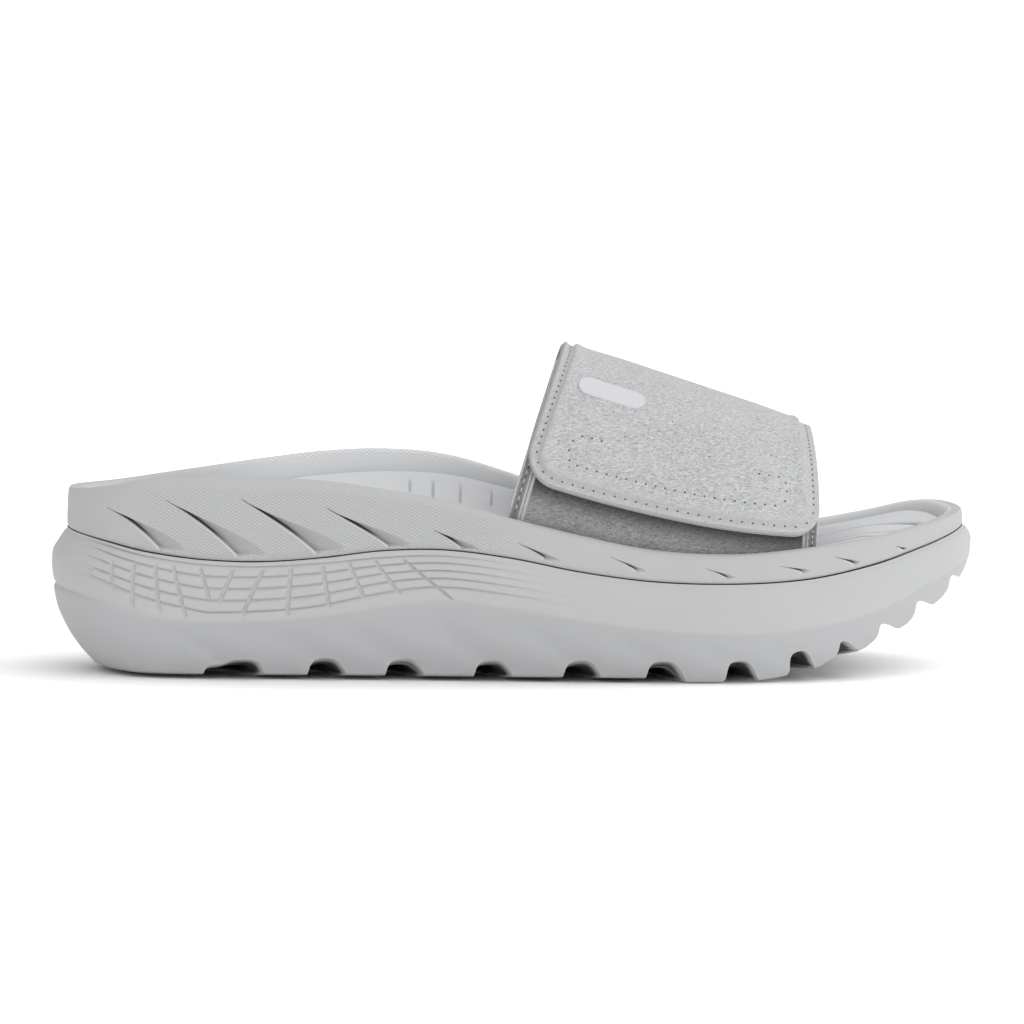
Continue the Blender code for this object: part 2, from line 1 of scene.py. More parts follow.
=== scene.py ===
# Looks of the recovery sandal, a right shoe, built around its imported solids.
# Sizes are in millimetres; fromHeel runs along the sole to the toe, and -Y is the outer side of the foot.
import math

import bpy
import numpy as np
from mathutils import Matrix, Vector


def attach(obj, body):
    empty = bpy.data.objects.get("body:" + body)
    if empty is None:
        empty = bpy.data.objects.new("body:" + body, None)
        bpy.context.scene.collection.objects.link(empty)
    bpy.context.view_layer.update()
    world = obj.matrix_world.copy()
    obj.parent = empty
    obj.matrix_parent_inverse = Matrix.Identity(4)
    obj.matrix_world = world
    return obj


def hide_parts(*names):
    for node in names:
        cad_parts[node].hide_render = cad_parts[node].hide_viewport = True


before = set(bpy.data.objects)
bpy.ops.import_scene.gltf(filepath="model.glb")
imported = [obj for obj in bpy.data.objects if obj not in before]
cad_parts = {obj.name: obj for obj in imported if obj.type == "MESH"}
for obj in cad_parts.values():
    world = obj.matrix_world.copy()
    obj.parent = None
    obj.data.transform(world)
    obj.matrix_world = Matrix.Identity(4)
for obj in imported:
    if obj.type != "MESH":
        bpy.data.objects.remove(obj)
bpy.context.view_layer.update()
print("frame loaded:", sorted(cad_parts))

mm = 0.001
tiny = 1e-9

lastShape = {
    "length": 270.0,
    "spineFrom": 36.0,
    "spineTo": 232.0,
    "insoleThickness": 4.0,
    "gap": 0.3,
    "springFrom": 196.0,  # the toe spring starts here
    "springRun": 70.0,
    "springRise": 26.0,
}

# widest outline in plan, both half widths about a centre line that swings to the big toe
outlineTable = {
    "fromHeel": (0, 5, 18, 40, 70, 105, 140, 175, 200, 225, 245, 258, 266, 270),
    "centre": (0, 0, 0, 0, -1, -3, -3.5, -1, 1, 4, 6.5, 8, 8.5, 8.5),
    "halfWidth": (0, 19.5, 32, 38, 39.5, 40, 43.5, 49, 51.5, 49, 41, 30.5, 18.5, 0),
}

# heights over the floor from heel to toe, and the rim's width and place
sectionTable = {
    "fromHeel": (0, 15, 30, 45, 62, 80, 98, 114, 134, 154, 174, 198, 222, 240, 256, 270),
    "seamLateral": (
        42, 39.4, 36.6, 34.9, 34.4, 35.7, 37.9, 38.3, 36.1, 32.3, 29.7, 28.9, 30, 33.1, 37.4, 41.8,
    ),
    "seamMedial": (42, 39.4, 36.8, 35.4, 35.3, 37.2, 40, 41, 39, 34.7, 31.3, 29.4, 30, 33.1, 37.4, 41.8),
    "rimLateral": (53.6, 55.8, 58.2, 58.8, 58.6, 58, 55.6, 52.8, 47.6, 42.8, 38.9, 37.5, 39, 41, 43.6, 46.5),
    "rimMedial": (
        53.6, 53.7, 55.2, 57, 59.3, 61.4, 62.1, 60.6, 54.6, 46.8, 41.5, 39.2, 39.4, 42.3, 46.1, 46.5,
    ),
    "band": (25.5, 22.5, 18.5, 17, 17.4, 19, 22, 23.8, 21.8, 18.5, 16, 14.8, 16.3, 20.2, 27, 33),
    "footbed": (46, 46, 45.6, 45.2, 44.7, 44.2, 43.2, 41.6, 39.2, 37, 35.5, 35, 37, 40.4, 42.8, 43),
    "edgeDrop": (7.5, 7.5, 7.5, 7.3, 7, 6.8, 6.5, 5.8, 4.6, 3.4, 2.6, 2.2, 2.2, 2.4, 2.9, 3.6),
    "rimWidth": (8, 8, 7.6, 7, 6.5, 6.2, 6, 5.8, 5.5, 5.5, 5.5, 5.5, 5.8, 6, 5.8, 5.6),
    "seamInset": (4.6, 4.2, 3.9, 3.6, 3.4, 3.2, 3, 3, 3, 3, 3, 3, 2.9, 2.7, 2.5, 2.5),
}


def angleAt(fromHeel):
    share = 1.0 - 2.0 * np.asarray(fromHeel, float) / lastShape["length"]
    return np.arccos(np.clip(share, -1.0, 1.0))


def stationAt(angle):
    return 0.5 * lastShape["length"] * (1.0 - np.cos(angle))


def hermite(knots, values, slopes, place):
    index = np.clip(np.searchsorted(knots, place) - 1, 0, len(knots) - 2)
    step = knots[index + 1] - knots[index]
    t = (place - knots[index]) / step
    rise = values[index + 1] - values[index]
    start = slopes[index] * step
    end = slopes[index + 1] * step
    return values[index] + t * (start + t * (3 * rise - 2 * start - end + t * (start + end - 2 * rise)))


def tableCurve(table, column, levelEnds=True):
    knots = angleAt(table["fromHeel"])
    values = np.array(table[column], float)
    slopes = np.gradient(values, knots)
    if levelEnds:
        slopes[[0, -1]] = 0.0
    return lambda fromHeel: hermite(knots, values, slopes, angleAt(fromHeel))


def evenCurve(places, values):
    # a curve that never overshoots its points
    knots = np.array(places, float)
    values = np.array(values, float)
    rises = np.diff(values) / np.diff(knots)
    slopes = np.concatenate([rises[:1], np.zeros(len(knots) - 2), rises[-1:]])
    product = rises[:-1] * rises[1:]
    joined = 2.0 * product / np.where(product > 0.0, rises[:-1] + rises[1:], 1.0)
    slopes[1:-1] = np.where(product > 0.0, joined, 0.0)
    return lambda place: hermite(knots, values, slopes, np.asarray(place, float))


centreLine = tableCurve(outlineTable, "centre")
halfWidth = tableCurve(outlineTable, "halfWidth", levelEnds=False)
section = {name: tableCurve(sectionTable, name) for name in sectionTable if name != "fromHeel"}


def ease(value, start, end):
    t = np.clip((np.asarray(value, float) - start) / (end - start), 0.0, 1.0)
    return t * t * (3.0 - 2.0 * t)


def between(value, riseFrom, riseTo, fallFrom, fallTo):
    return ease(value, riseFrom, riseTo) * (1.0 - ease(value, fallFrom, fallTo))


def edgeFall(distance, reach):
    return np.clip(1.0 - distance / reach, 0.0, 1.0)


def runAlong(points):
    return np.concatenate([[0.0], np.cumsum(np.linalg.norm(np.diff(points, axis=0), axis=1))])


def planPoint(turn):
    # turn 0 is the heel, half a turn the toe, and the outer side comes first
    station = stationAt(np.where(turn <= math.pi, turn, 2.0 * math.pi - turn))
    side = np.where(np.sin(turn) >= 0.0, -1.0, 1.0)
    return np.stack([station, centreLine(station) + side * halfWidth(station)], axis=-1)


def planInward(turn):
    step = 1e-3
    along = planPoint((turn + step) % (2.0 * math.pi)) - planPoint((turn - step) % (2.0 * math.pi))
    along /= np.linalg.norm(along, axis=-1, keepdims=True)
    return np.stack([-along[..., 1], along[..., 0]], axis=-1)


outlineTurns = np.linspace(0.0, 2.0 * math.pi, 1441)
outlinePoints = planPoint(outlineTurns % (2.0 * math.pi))
outlineRun = runAlong(outlinePoints)
centreY = 0.5 * (outlinePoints[:, 1].min() + outlinePoints[:, 1].max())


def toFrame(points):
    return (np.asarray(points, float) - (0.5 * lastShape["length"], centreY, 0.0)) * mm


def bySide(name, station, medial):
    return np.where(medial, section[name + "Medial"](station), section[name + "Lateral"](station))


def footbedEdge(station, medial):
    return bySide("rim", station, medial) - section["edgeDrop"](station)


def underside(station):
    run = np.clip(np.asarray(station, float) - lastShape["springFrom"], 0.0, None) / lastShape["springRun"]
    return lastShape["springRise"] * run * run


def spinePoint(station, spineTo):
    along = np.clip(station, lastShape["spineFrom"], spineTo)
    return np.stack([along, centreLine(along)], axis=-1)


def withHeight(plan, height):
    return np.concatenate([plan, np.broadcast_to(height, plan.shape[:-1])[..., None]], axis=-1)


def insetRow(turn, inset, height):
    return withHeight(planPoint(turn) + planInward(turn) * np.asarray(inset)[..., None], height)


# the two halves of a sole piece mirror each other's columns
def bothSides(half):
    return np.concatenate([half, half[..., -2:0:-1]], axis=-1)


def fullTurn(half):
    return np.concatenate([half, 2.0 * math.pi - half[..., -2:0:-1]], axis=-1)


def groupedColumns(groups, shape):
    # angles of a row of columns, with every station of the groups among them, and where those stand
    knots = angleAt(np.concatenate([[0.0], groups.ravel(), [lastShape["length"]]]))
    counts = [shape["columnsBefore"]]
    for _ in groups:
        counts += [1] * (groups.shape[1] - 1) + [shape["columnsBetween"]]
    counts[-1] = shape["columnsAfter"]
    steps = zip(knots[:-1], knots[1:], counts)
    parts = [start + (end - start) * (np.arange(count) / count) for start, end, count in steps]
    return np.concatenate(parts + [knots[-1:]]), np.cumsum(counts)[:-1]


def chooseOnly(piece):
    bpy.ops.object.select_all(action="DESELECT")
    piece.select_set(True)
    bpy.context.view_layer.objects.active = piece


def joinPieces(pieces):
    bpy.ops.object.select_all(action="DESELECT")
    for piece in pieces:
        piece.select_set(True)
    bpy.context.view_layer.objects.active = pieces[0]
    bpy.ops.object.join()
    return pieces[0]


def rowStack(*names):
    # rows of points for a grid piece, with mask values that are 0 where none are given
    rows, masks = [], {name: [] for name in names}

    def addRow(row, **given):
        rows.append(row)
        for name, values in masks.items():
            values.append(np.zeros(len(row)) + given.get(name, 0.0))

    return rows, masks, addRow


def vertexPlaces(mesh):
    place = np.empty(len(mesh.vertices) * 3)
    mesh.vertices.foreach_get("co", place)
    return place.reshape(-1, 3)


def addMask(mesh, name, values):
    attribute = mesh.attributes.new(name, "FLOAT", "POINT")
    attribute.data.foreach_set("value", np.asarray(values, np.float32))


def gridPiece(name, points, surface=None, masks=None):
    # a grid primitive laid out on rows of points, then closed and turned outwards
    points = np.asarray(points, float)
    rowCount, columnCount = points.shape[:2]
    bpy.ops.object.select_all(action="DESELECT")
    bpy.ops.mesh.primitive_grid_add(x_subdivisions=columnCount, y_subdivisions=rowCount - 1, size=1.0)
    piece = bpy.context.active_object
    piece.name = name
    mesh = piece.data
    mesh.name = name
    place = vertexPlaces(mesh)
    column = np.rint((place[:, 0] + 0.5) * columnCount).astype(int)
    row = np.rint((place[:, 1] + 0.5) * (rowCount - 1)).astype(int)
    mesh.vertices.foreach_set("co", toFrame(points[row, column % columnCount]).ravel())
    if surface is not None:
        loops = np.empty(len(mesh.loops), int)
        mesh.loops.foreach_get("vertex_index", loops)
        mesh.uv_layers.active.data.foreach_set("uv", (surface[row, column] * mm)[loops].ravel())
    for mask, values in (masks or {}).items():
        addMask(mesh, mask, np.asarray(values)[row, column % columnCount])
    mesh.update()
    bpy.ops.object.mode_set(mode="EDIT")
    bpy.ops.mesh.select_all(action="SELECT")
    bpy.ops.mesh.remove_doubles(threshold=2e-6)
    bpy.ops.mesh.dissolve_degenerate(threshold=1e-7)
    bpy.ops.mesh.select_all(action="SELECT")
    bpy.ops.mesh.normals_make_consistent(inside=False)
    bpy.ops.object.mode_set(mode="OBJECT")
    return piece


def cutAway(piece, cutter):
    cut = piece.modifiers.new("cut", "BOOLEAN")
    cut.operation = "DIFFERENCE"
    cut.solver = "EXACT"
    cut.object = cutter
    chooseOnly(piece)
    bpy.ops.object.modifier_apply(modifier=cut.name)
    bpy.data.objects.remove(cutter, do_unlink=True)


def finishPiece(piece, material, sharpAngle=38.0):
    piece.data.materials.clear()
    piece.data.materials.append(material)
    chooseOnly(piece)
    bpy.ops.object.shade_smooth_by_angle(angle=math.radians(sharpAngle))
    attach(piece, "root")
    print(f"{piece.name}: {sum(len(p.vertices) - 2 for p in piece.data.polygons)} triangles")


# shader helpers
def addNode(tree, kind, inputs=None, **settings):
    node = tree.nodes.new(kind)
    for name, value in settings.items():
        setattr(node, name, value)
    for key, value in (inputs or {}).items():
        if isinstance(value, bpy.types.NodeSocket):
            tree.links.new(value, node.inputs[key])
        else:
            node.inputs[key].default_value = value
    return node


def mathNode(tree, operation, first, second=0.0, third=0.0):
    return addNode(tree, "ShaderNodeMath", {0: first, 1: second, 2: third}, operation=operation).outputs[0]


def noiseNode(tree, vector, scale, detail=2.0, roughness=0.5, distortion=0.0):
    values = {"Vector": vector, "Scale": scale, "Detail": detail, "Roughness": roughness}
    return addNode(tree, "ShaderNodeTexNoise", {**values, "Distortion": distortion}).outputs["Fac"]


def scaledTone(tree, tone, value):
    return addNode(tree, "ShaderNodeVectorMath", {0: tone, "Scale": value}, operation="SCALE").outputs[0]


def newGroup(name, inputs, outputs):
    group = bpy.data.node_groups.new(name, "ShaderNodeTree")
    for label, kind, value in inputs:
        socket = group.interface.new_socket(label, in_out="INPUT", socket_type=kind)
        if value is not None:
            socket.default_value = value
    for label, kind in outputs:
        group.interface.new_socket(label, in_out="OUTPUT", socket_type=kind)
    return group, addNode(group, "NodeGroupInput"), addNode(group, "NodeGroupOutput")


foamSkin = {
    "cloudScale": 45.0, "speckScale": 1900.0, "grainScale": 900.0, "speckShare": 0.35, "middle": 0.675,
    "glossSpread": 0.12, "bump": 0.0001,
}
napSkin = {
    "stretch": (0.32, 1.0, 1.0), "fibreScale": 2600.0, "tuftScale": 1500.0, "brushScale": 70.0,
    "tuftShare": 0.25, "brushShare": 0.12, "poresFrom": 0.35, "poresTo": 0.26, "poreShare": 0.35,
    "roughSpread": 0.1, "rough": 0.86, "bump": 0.0004, "specular": 0.12, "sheenRough": 0.5,
}


def makeFoamGroup():
    # moulded foam: cloudy tone, fine skin and a little uneven gloss
    group, given, result = newGroup(
        "mouldedFoamSkin",
        [("Vector", "NodeSocketVector", None), ("Tone", "NodeSocketColor", (0.5, 0.5, 0.5, 1.0)),
         ("Cloud", "NodeSocketFloat", 0.04), ("Gloss", "NodeSocketFloat", 0.6)],
        [("Color", "NodeSocketColor"), ("Roughness", "NodeSocketFloat"), ("Height", "NodeSocketFloat")],
    )
    vector = given.outputs["Vector"]
    cloud = noiseNode(group, vector, foamSkin["cloudScale"], 3.0)
    speck = noiseNode(group, vector, foamSkin["speckScale"], 1.0)
    grain = noiseNode(group, vector, foamSkin["grainScale"], 2.0)
    mixed = mathNode(group, "MULTIPLY_ADD", speck, foamSkin["speckShare"], cloud)
    mixed = mathNode(group, "SUBTRACT", mixed, foamSkin["middle"])
    shift = mathNode(group, "MULTIPLY", mixed, given.outputs["Cloud"])
    value = mathNode(group, "ADD", shift, 1.0)
    group.links.new(scaledTone(group, given.outputs["Tone"], value), result.inputs["Color"])
    rough = mathNode(group, "MULTIPLY_ADD", cloud, foamSkin["glossSpread"], given.outputs["Gloss"])
    group.links.new(rough, result.inputs["Roughness"])
    group.links.new(grain, result.inputs["Height"])
    return group


def makeNapGroup():
    # suede: short fibres as streaky noise, dark pores and pale fibre ends
    group, given, result = newGroup(
        "suedeNap",
        [("Vector", "NodeSocketVector", None), ("Tone", "NodeSocketColor", (0.5, 0.5, 0.5, 1.0)),
         ("Speckle", "NodeSocketFloat", 0.5)],
        [("Color", "NodeSocketColor"), ("Roughness", "NodeSocketFloat"), ("Height", "NodeSocketFloat")],
    )
    vector = given.outputs["Vector"]
    skin = napSkin
    stretch = addNode(group, "ShaderNodeMapping", {"Vector": vector, "Scale": skin["stretch"]}).outputs[0]
    fibre = noiseNode(group, stretch, skin["fibreScale"], 1.0, 0.6, 1.0)
    tuft = noiseNode(group, vector, skin["tuftScale"], 2.0, 0.6, 0.6)
    brush = noiseNode(group, vector, skin["brushScale"], 2.0)
    fibreShift = mathNode(group, "SUBTRACT", fibre, 0.5)
    tuftShift = mathNode(group, "SUBTRACT", tuft, 0.5)
    brushShift = mathNode(group, "SUBTRACT", brush, 0.5)
    grain = mathNode(group, "MULTIPLY_ADD", tuftShift, skin["tuftShare"], fibreShift)
    poreEnds = {"From Min": skin["poresFrom"], "From Max": skin["poresTo"], "To Max": skin["poreShare"]}
    pores = addNode(group, "ShaderNodeMapRange", {"Value": tuft, "To Min": 0.0, **poreEnds}).outputs[0]
    speck = mathNode(group, "SUBTRACT", grain, pores)
    shift = mathNode(group, "MULTIPLY", speck, given.outputs["Speckle"])
    patch = mathNode(group, "MULTIPLY_ADD", brushShift, skin["brushShare"], shift)
    value = mathNode(group, "ADD", patch, 1.0)
    group.links.new(scaledTone(group, given.outputs["Tone"], value), result.inputs["Color"])
    rough = mathNode(group, "MULTIPLY_ADD", fibre, skin["roughSpread"], skin["rough"])
    group.links.new(rough, result.inputs["Roughness"])
    group.links.new(grain, result.inputs["Height"])
    return group


foamGroup = makeFoamGroup()
napGroup = makeNapGroup()


def newMaterial(name):
    material = bpy.data.materials.new(name)
    material.use_nodes = True
    tree = material.node_tree
    shader = tree.nodes["Principled BSDF"]
    place = addNode(tree, "ShaderNodeTexCoord")
    return material, tree, shader, place


def groupNode(tree, group, vector, tone, **values):
    inputs = {"Vector": vector, "Tone": tone}
    inputs.update({key.capitalize(): value for key, value in values.items()})
    return addNode(tree, "ShaderNodeGroup", inputs, node_tree=group)


def bumpNode(tree, height, strength, distance, normal=None):
    inputs = {"Height": height, "Strength": strength, "Distance": distance}
    if normal is not None:
        inputs["Normal"] = normal
    return addNode(tree, "ShaderNodeBump", inputs).outputs["Normal"]


def maskNode(tree, name):
    return addNode(tree, "ShaderNodeAttribute", attribute_name=name).outputs["Fac"]


def shadedTone(tree, colour, look):
    # lays each shade of a look over the colour, as far as its mask goes
    for mask, share, tone in look.get("shades", ()):
        cover = mathNode(tree, "MULTIPLY", maskNode(tree, mask), share)
        colour = addNode(tree, "ShaderNodeMix", {0: cover, 6: colour, 7: tone}, data_type="RGBA").outputs[2]
    return colour


def grey(value, cool=0.012):
    return (value * (1.0 - 0.5 * cool), value, value * (1.0 + cool), 1.0)


# outsole: lower wall, ribbed band, bead under the seam, lugs
outsoleShape = {
    "heelBend": 34.0,
    "toeBend": 52.0,
    "wallPlace": (0.0, 0.22, 0.45, 0.75, 0.96, 1.0, 1.06, 1.17, 1.36, 1.56, 1.76, 1.90, 2.0),
    "wallSide": (6.0, 4.2, 2.7, 1.5, 0.6, 0.2, 0.0, 0.1, 0.3, 0.7, 1.5, 2.3, 3.0),
    "wallHeel": (13.0, 8.2, 4.5, 1.4, 0.6, 1.1, 0.6, 0.2, 0.0, 0.2, 2.0, 3.5, 4.6),
    "wallToe": (3.6, 2.7, 1.8, 1.0, 0.5, 0.4, 0.3, 0.2, 0.1, 0.0, 0.6, 1.5, 2.5),
    "footRounding": 0.9,
    "footLift": 1.4,  # the lugs' edges curve up from the floor
    "ballDrop": 0.9,  # but stand on it under the ball of the foot
    "ballEnds": (172.0, 186.0),
    "liftReach": 0.3,
    "soleRings": (1.0, 0.8, 0.6, 0.42, 0.3, 0.22, 0.15, 0.09, 0.04, 0.0),
    "soleHalf": 40.0,
    # painted shadow in the channels: the height it stays below, and where it fades in, from the wall inwards
    # and from the sole upwards
    "hollowShadowHeight": 9.0,
    "hollowShadowFrom": (1.7, 3.4),
    "hollowShadowOver": (0.3, 1.0),
    "shelfInset": 3.4,
    "shelfDrop": 0.5,
    "underFootbed": 2.2,
    "ribDepth": 0.5,
    "topLineShade": 0.3,
    "ribFadeIn": (5.0, 19.0),
    "ribFadeOut": (112.0, 158.0),
    "crossDepth": 0.6,
    "crossOffsets": (-0.72, -0.52, -0.3, 0.0, 0.3, 0.52, 0.72),
    "crossProfile": (0.0, 0.55, 1.0, 1.0, 1.0, 0.55, 0.0),
    # shares of painted shade across a cross groove
    "crossShadeShares": (0.0, 0.25, 0.1, 0.0, 0.15, 0.4, 0.0),
    "crossSoftness": 0.04,
    "beadHeight": 0.3,
    "beadFrom": 5.1,
    "beadRun": 0.9,
    "fluteDepth": 0.9,
    "fluteLean": 1.4,
    "fluteBack": 1.8,
    "fluteHalf": 0.4,
    "fluteHeight": 6.0,
    "fluteStart": (-0.8, 1.0),
    "fluteEnd": (2.0, 15.0),
    "fluteLow": (1.5, 5.0),
    "fluteHigh": (0.55, 0.9),
    "columnsBefore": 12,
    "columnsBetween": 4,
    "columnsAfter": 120,
}

# one rib line across the wall: offset from the line, share of the depth, share of the painted shade in the
# groove
ribProfile = (
    (-0.45, 0.0, 0.0), (-0.30, 0.22, 0.0), (-0.16, 0.62, 0.3), (-0.06, 1.0, 1.0), (0.0, 0.75, 0.9),
    (0.09, 0.0, 0.15), (0.3, 0.0, 0.0),
)
beadLevels = (5.25, 5.45, 5.65, 5.82, 5.93)
lowPlaces = (
    0.0, 0.03, 0.07, 0.13, 0.2, 0.28, 0.37, 0.46, 0.55, 0.64, 0.73, 0.81, 0.88, 0.93, 0.965, 0.985, 1.0,
    1.015, 1.035, 1.05,
)

# the ribbed band's lines, as shares of its height at a few places from the heel
ribLines = {
    "fromHeel": (12, 46, 75, 102, 150),
    "shares": (
        (0.42, 0.18, 0.19, 0.29, 0.30),
        (0.56, 0.378, 0.385, 0.46, 0.47),
        (0.715, 0.572, 0.575, 0.612, 0.62),
        (0.865, 0.762, 0.765, 0.758, 0.77),
        (0.955, 0.935, 0.93, 0.895, 0.90),
    ),
}

# cross grooves of the band, from their tops to their feet
crossGrooves = {
    "topAt": (12.6, 18.2, 25.0, 31.3, 36.6, 44.5, 54.2, 62.9, 71.0, 80.0, 87.5, 95.0, 103.4),
    "topShare": (0.53, 0.72, 0.80, 0.84, 0.86, 0.88, 0.88, 0.88, 0.89, 0.88, 0.89, 0.86, 0.83),
    "footAt": (11.9, 19.4, 24.9, 32.8, 40.4, 47.4, 50.3, 57.0, 70.0, 82.2, 92.3, 102.7, 117.6),
    "footShare": (0.35, 0.26, 0.14, 0.15, 0.11, 0.40, 0.32, 0.13, 0.09, 0.16, 0.21, 0.20, 0.05),
}

# channels between the lugs; reach is how far each runs in, and 0 runs right across
lugChannels = {
    "fromHeel": (56.3, 83.4, 106.0, 131.6, 157.2, 180.9, 203.0, 220.6),
    "width": (19.0, 14.5, 14.5, 14.2, 14.0, 13.6, 11.6, 9.2),
    "height": (6.0, 6.6, 6.7, 6.7, 6.6, 6.5, 6.4, 6.2),
    "reach": (29, 29, 29, 30, 32, 35, 36, 34),
    "slant": math.radians(18.0),
}
# run in from the edge, share of the width and of the height
channelSteps = (
    (-9.0, 1.12, 1.06), (3.4, 1.07, 1.04), (4.8, 1.03, 1.0), (6.0, 0.99, 0.9), (7.2, 0.96, 0.78),
    (8.8, 0.93, 0.68), (12.0, 0.88, 0.64),
)
channelEnds = ((5.0, 0.72, 0.74), (1.2, 0.6, 0.62), (0.0, 0.45, 0.45))

# the toe's notches: upright front of the lug behind, lowest edge over the underside, scales, reach
toeNotches = {
    "face": (229.8, 241.55, 252.5, 262.9),
    "base": (1.1, 0.5, 0.0, -0.2),
    "along": (1.08, 1.0, 0.95, 0.75),
    "up": (1.0, 1.02, 1.08, 1.0),
    "reach": (28, 0, 0, 0),
}

# profiles of a channel in shares of its width and height: steep to the heel side, rounded to the toe side
channelProfile = (
    (-0.52, -0.5), (-0.50, 0.0), (-0.455, 0.13), (-0.40, 0.2), (-0.375, 0.45), (-0.345, 0.72),
    (-0.27, 0.94), (-0.14, 1.0), (0.02, 1.0), (0.15, 0.92), (0.26, 0.7), (0.35, 0.43), (0.43, 0.18),
    (0.5, 0.0), (0.56, -0.5),
)
heelProfile = (
    (-0.53, -0.5), (-0.50, 0.0), (-0.475, 0.26), (-0.44, 0.58), (-0.39, 0.72), (-0.29, 0.76), (-0.19, 0.8),
    (-0.1, 0.9), (0.0, 0.98), (0.14, 1.0), (0.27, 0.97), (0.36, 0.82), (0.42, 0.5), (0.47, 0.2), (0.56, -0.5),
)
toeProfile = (
    (-6.2, -3.0), (-4.2, -0.4), (-2.9, 0.05), (-1.3, 0.55), (-0.4, 1.6), (-0.08, 3.1), (0.1, 4.25),
    (0.85, 4.3), (2.1, 3.4), (3.6, 1.8), (4.9, 0.4), (6.2, -0.5), (7.5, -3.0),
)


def roundedProfile(points, passes=2):
    points = np.asarray(points, float)
    for _ in range(passes):
        cut = np.empty((2 * (len(points) - 1), 2))
        cut[0::2] = 0.75 * points[:-1] + 0.25 * points[1:]
        cut[1::2] = 0.25 * points[:-1] + 0.75 * points[1:]
        points = np.concatenate([points[:1], cut, points[-1:]])
    return points


def channelPlaces(fromHeel, reach, medial):
    # where the rings of a cutter stand: side, scales and run in from the edge
    turn = float(angleAt(fromHeel))
    lateralEdge = float(planPoint(np.array(turn))[1])
    medialEdge = float(planPoint(np.array(2.0 * math.pi - turn))[1])
    if not reach:
        return [(lateralEdge - 9.0, 1.0, 1.0, 0.0), (medialEdge + 9.0, 1.0, 1.0, 0.0)]
    edge, inward = (medialEdge, -1.0) if medial else (lateralEdge, 1.0)
    steps = channelSteps + tuple((reach - back, along, up) for back, along, up in channelEnds)
    return [(edge + inward * run, along, up, run) for run, along, up in steps]


def closedRings(rings):
    first = np.broadcast_to(rings[0].mean(axis=0), rings[0].shape)
    last = np.broadcast_to(rings[-1].mean(axis=0), rings[-1].shape)
    return np.array([first, *rings, last])


def channelRings(index, medial):
    keys = ("fromHeel", "width", "height", "reach")
    fromHeel, width, height, reach = (lugChannels[key][index] for key in keys)
    profile = roundedProfile(channelProfile if index else heelProfile)
    slope = math.atan2(float(underside(fromHeel + 1.0) - underside(fromHeel - 1.0)), 2.0)
    rings = []
    for side, alongScale, upScale, run in channelPlaces(fromHeel, reach, medial):
        back = math.tan(lugChannels["slant"]) * run
        along = profile[:, 0] * width * alongScale
        up = np.where(profile[:, 1] > 0.0, profile[:, 1] * upScale, profile[:, 1]) * height
        rings.append(np.stack([
            fromHeel - back + along * math.cos(slope) - up * math.sin(slope),
            np.full(len(profile), side),
            underside(fromHeel) + along * math.sin(slope) + up * math.cos(slope),
        ], axis=-1))
    return closedRings(rings)


def toeRings(index, medial):
    keys = ("face", "base", "along", "up", "reach")
    face, base, along, up, reach = (toeNotches[key][index] for key in keys)
    profile = roundedProfile(toeProfile)
    rings = []
    for side, alongScale, upScale, run in channelPlaces(face, reach, medial):
        back = math.tan(lugChannels["slant"]) * max(run - 6.0, 0.0)
        station = face - back + profile[:, 0] * along * alongScale
        lift = base + np.where(profile[:, 1] > 0.0, upScale, 1.0) * profile[:, 1] * up
        rings.append(np.stack([station, np.full(len(profile), side), underside(station) + lift], axis=-1))
    return closedRings(rings)


def makeChannelCutter():
    cutters = []
    for maker, table in ((channelRings, lugChannels), (toeRings, toeNotches)):
        for index, reach in enumerate(table["reach"]):
            for medial in (False, True) if reach else (False,):
                cutters.append(gridPiece(f"lugCut{len(cutters)}", maker(index, medial)))
    return joinPieces(cutters)


def ribShare(level, station):
    # level 0 is over the band line, 1 to 5 the ribbed lines and 6 the seam
    lines = [np.interp(station, ribLines["fromHeel"], row) for row in ribLines["shares"]]
    stops = np.stack([np.full_like(station, 0.06), *lines, np.ones_like(station)])
    low = min(int(level), 5)
    return stops[low] + (stops[low + 1] - stops[low]) * (level - low)


def crossAt(share):
    # places of the cross grooves at each groove's own share of the band's height
    topShare, footShare = np.array(crossGrooves["topShare"]), np.array(crossGrooves["footShare"])
    t = np.clip((topShare - share) / (topShare - footShare), -0.12, 1.0)
    top, foot = np.array(crossGrooves["topAt"]), np.array(crossGrooves["footAt"])
    return top + (foot - top) * t


def bandColumns(share):
    return groupedColumns(crossAt(share)[:, None] + np.array(outsoleShape["crossOffsets"]), outsoleShape)


def wallInset(place, station):
    shape = outsoleShape
    curves = [evenCurve(shape["wallPlace"], shape[key]) for key in ("wallSide", "wallHeel", "wallToe")]
    side, heel, toe = (curve(place) for curve in curves)
    heelShare = 1.0 - ease(station, 0.0, shape["heelBend"])
    toeShare = ease(station, lastShape["length"] - shape["toeBend"], lastShape["length"])
    inset = side + (heel - side) * heelShare + (toe - side) * toeShare
    return inset + (section["seamInset"](station) - inset) * ease(place, 1.9, 2.0)


def edgeLift(station):
    shape = outsoleShape
    return shape["footLift"] * (1.0 - shape["ballDrop"] * ease(station, *shape["ballEnds"]))


def fluteDepth(station, height, place):
    # a soft step runs down to each notch and eases out before the next
    shape = outsoleShape
    depth = np.zeros_like(station)
    for fromHeel, width in zip(lugChannels["fromHeel"], lugChannels["width"]):
        foot = fromHeel - shape["fluteBack"] - shape["fluteHalf"] * width
        past = station - (foot - shape["fluteLean"] * (height - shape["fluteHeight"]))
        depth = np.maximum(depth, between(past, *shape["fluteStart"], *shape["fluteEnd"]))
    depth = depth * ease(height, *shape["fluteLow"]) * (1.0 - ease(place, *shape["fluteHigh"]))
    return shape["fluteDepth"] * depth


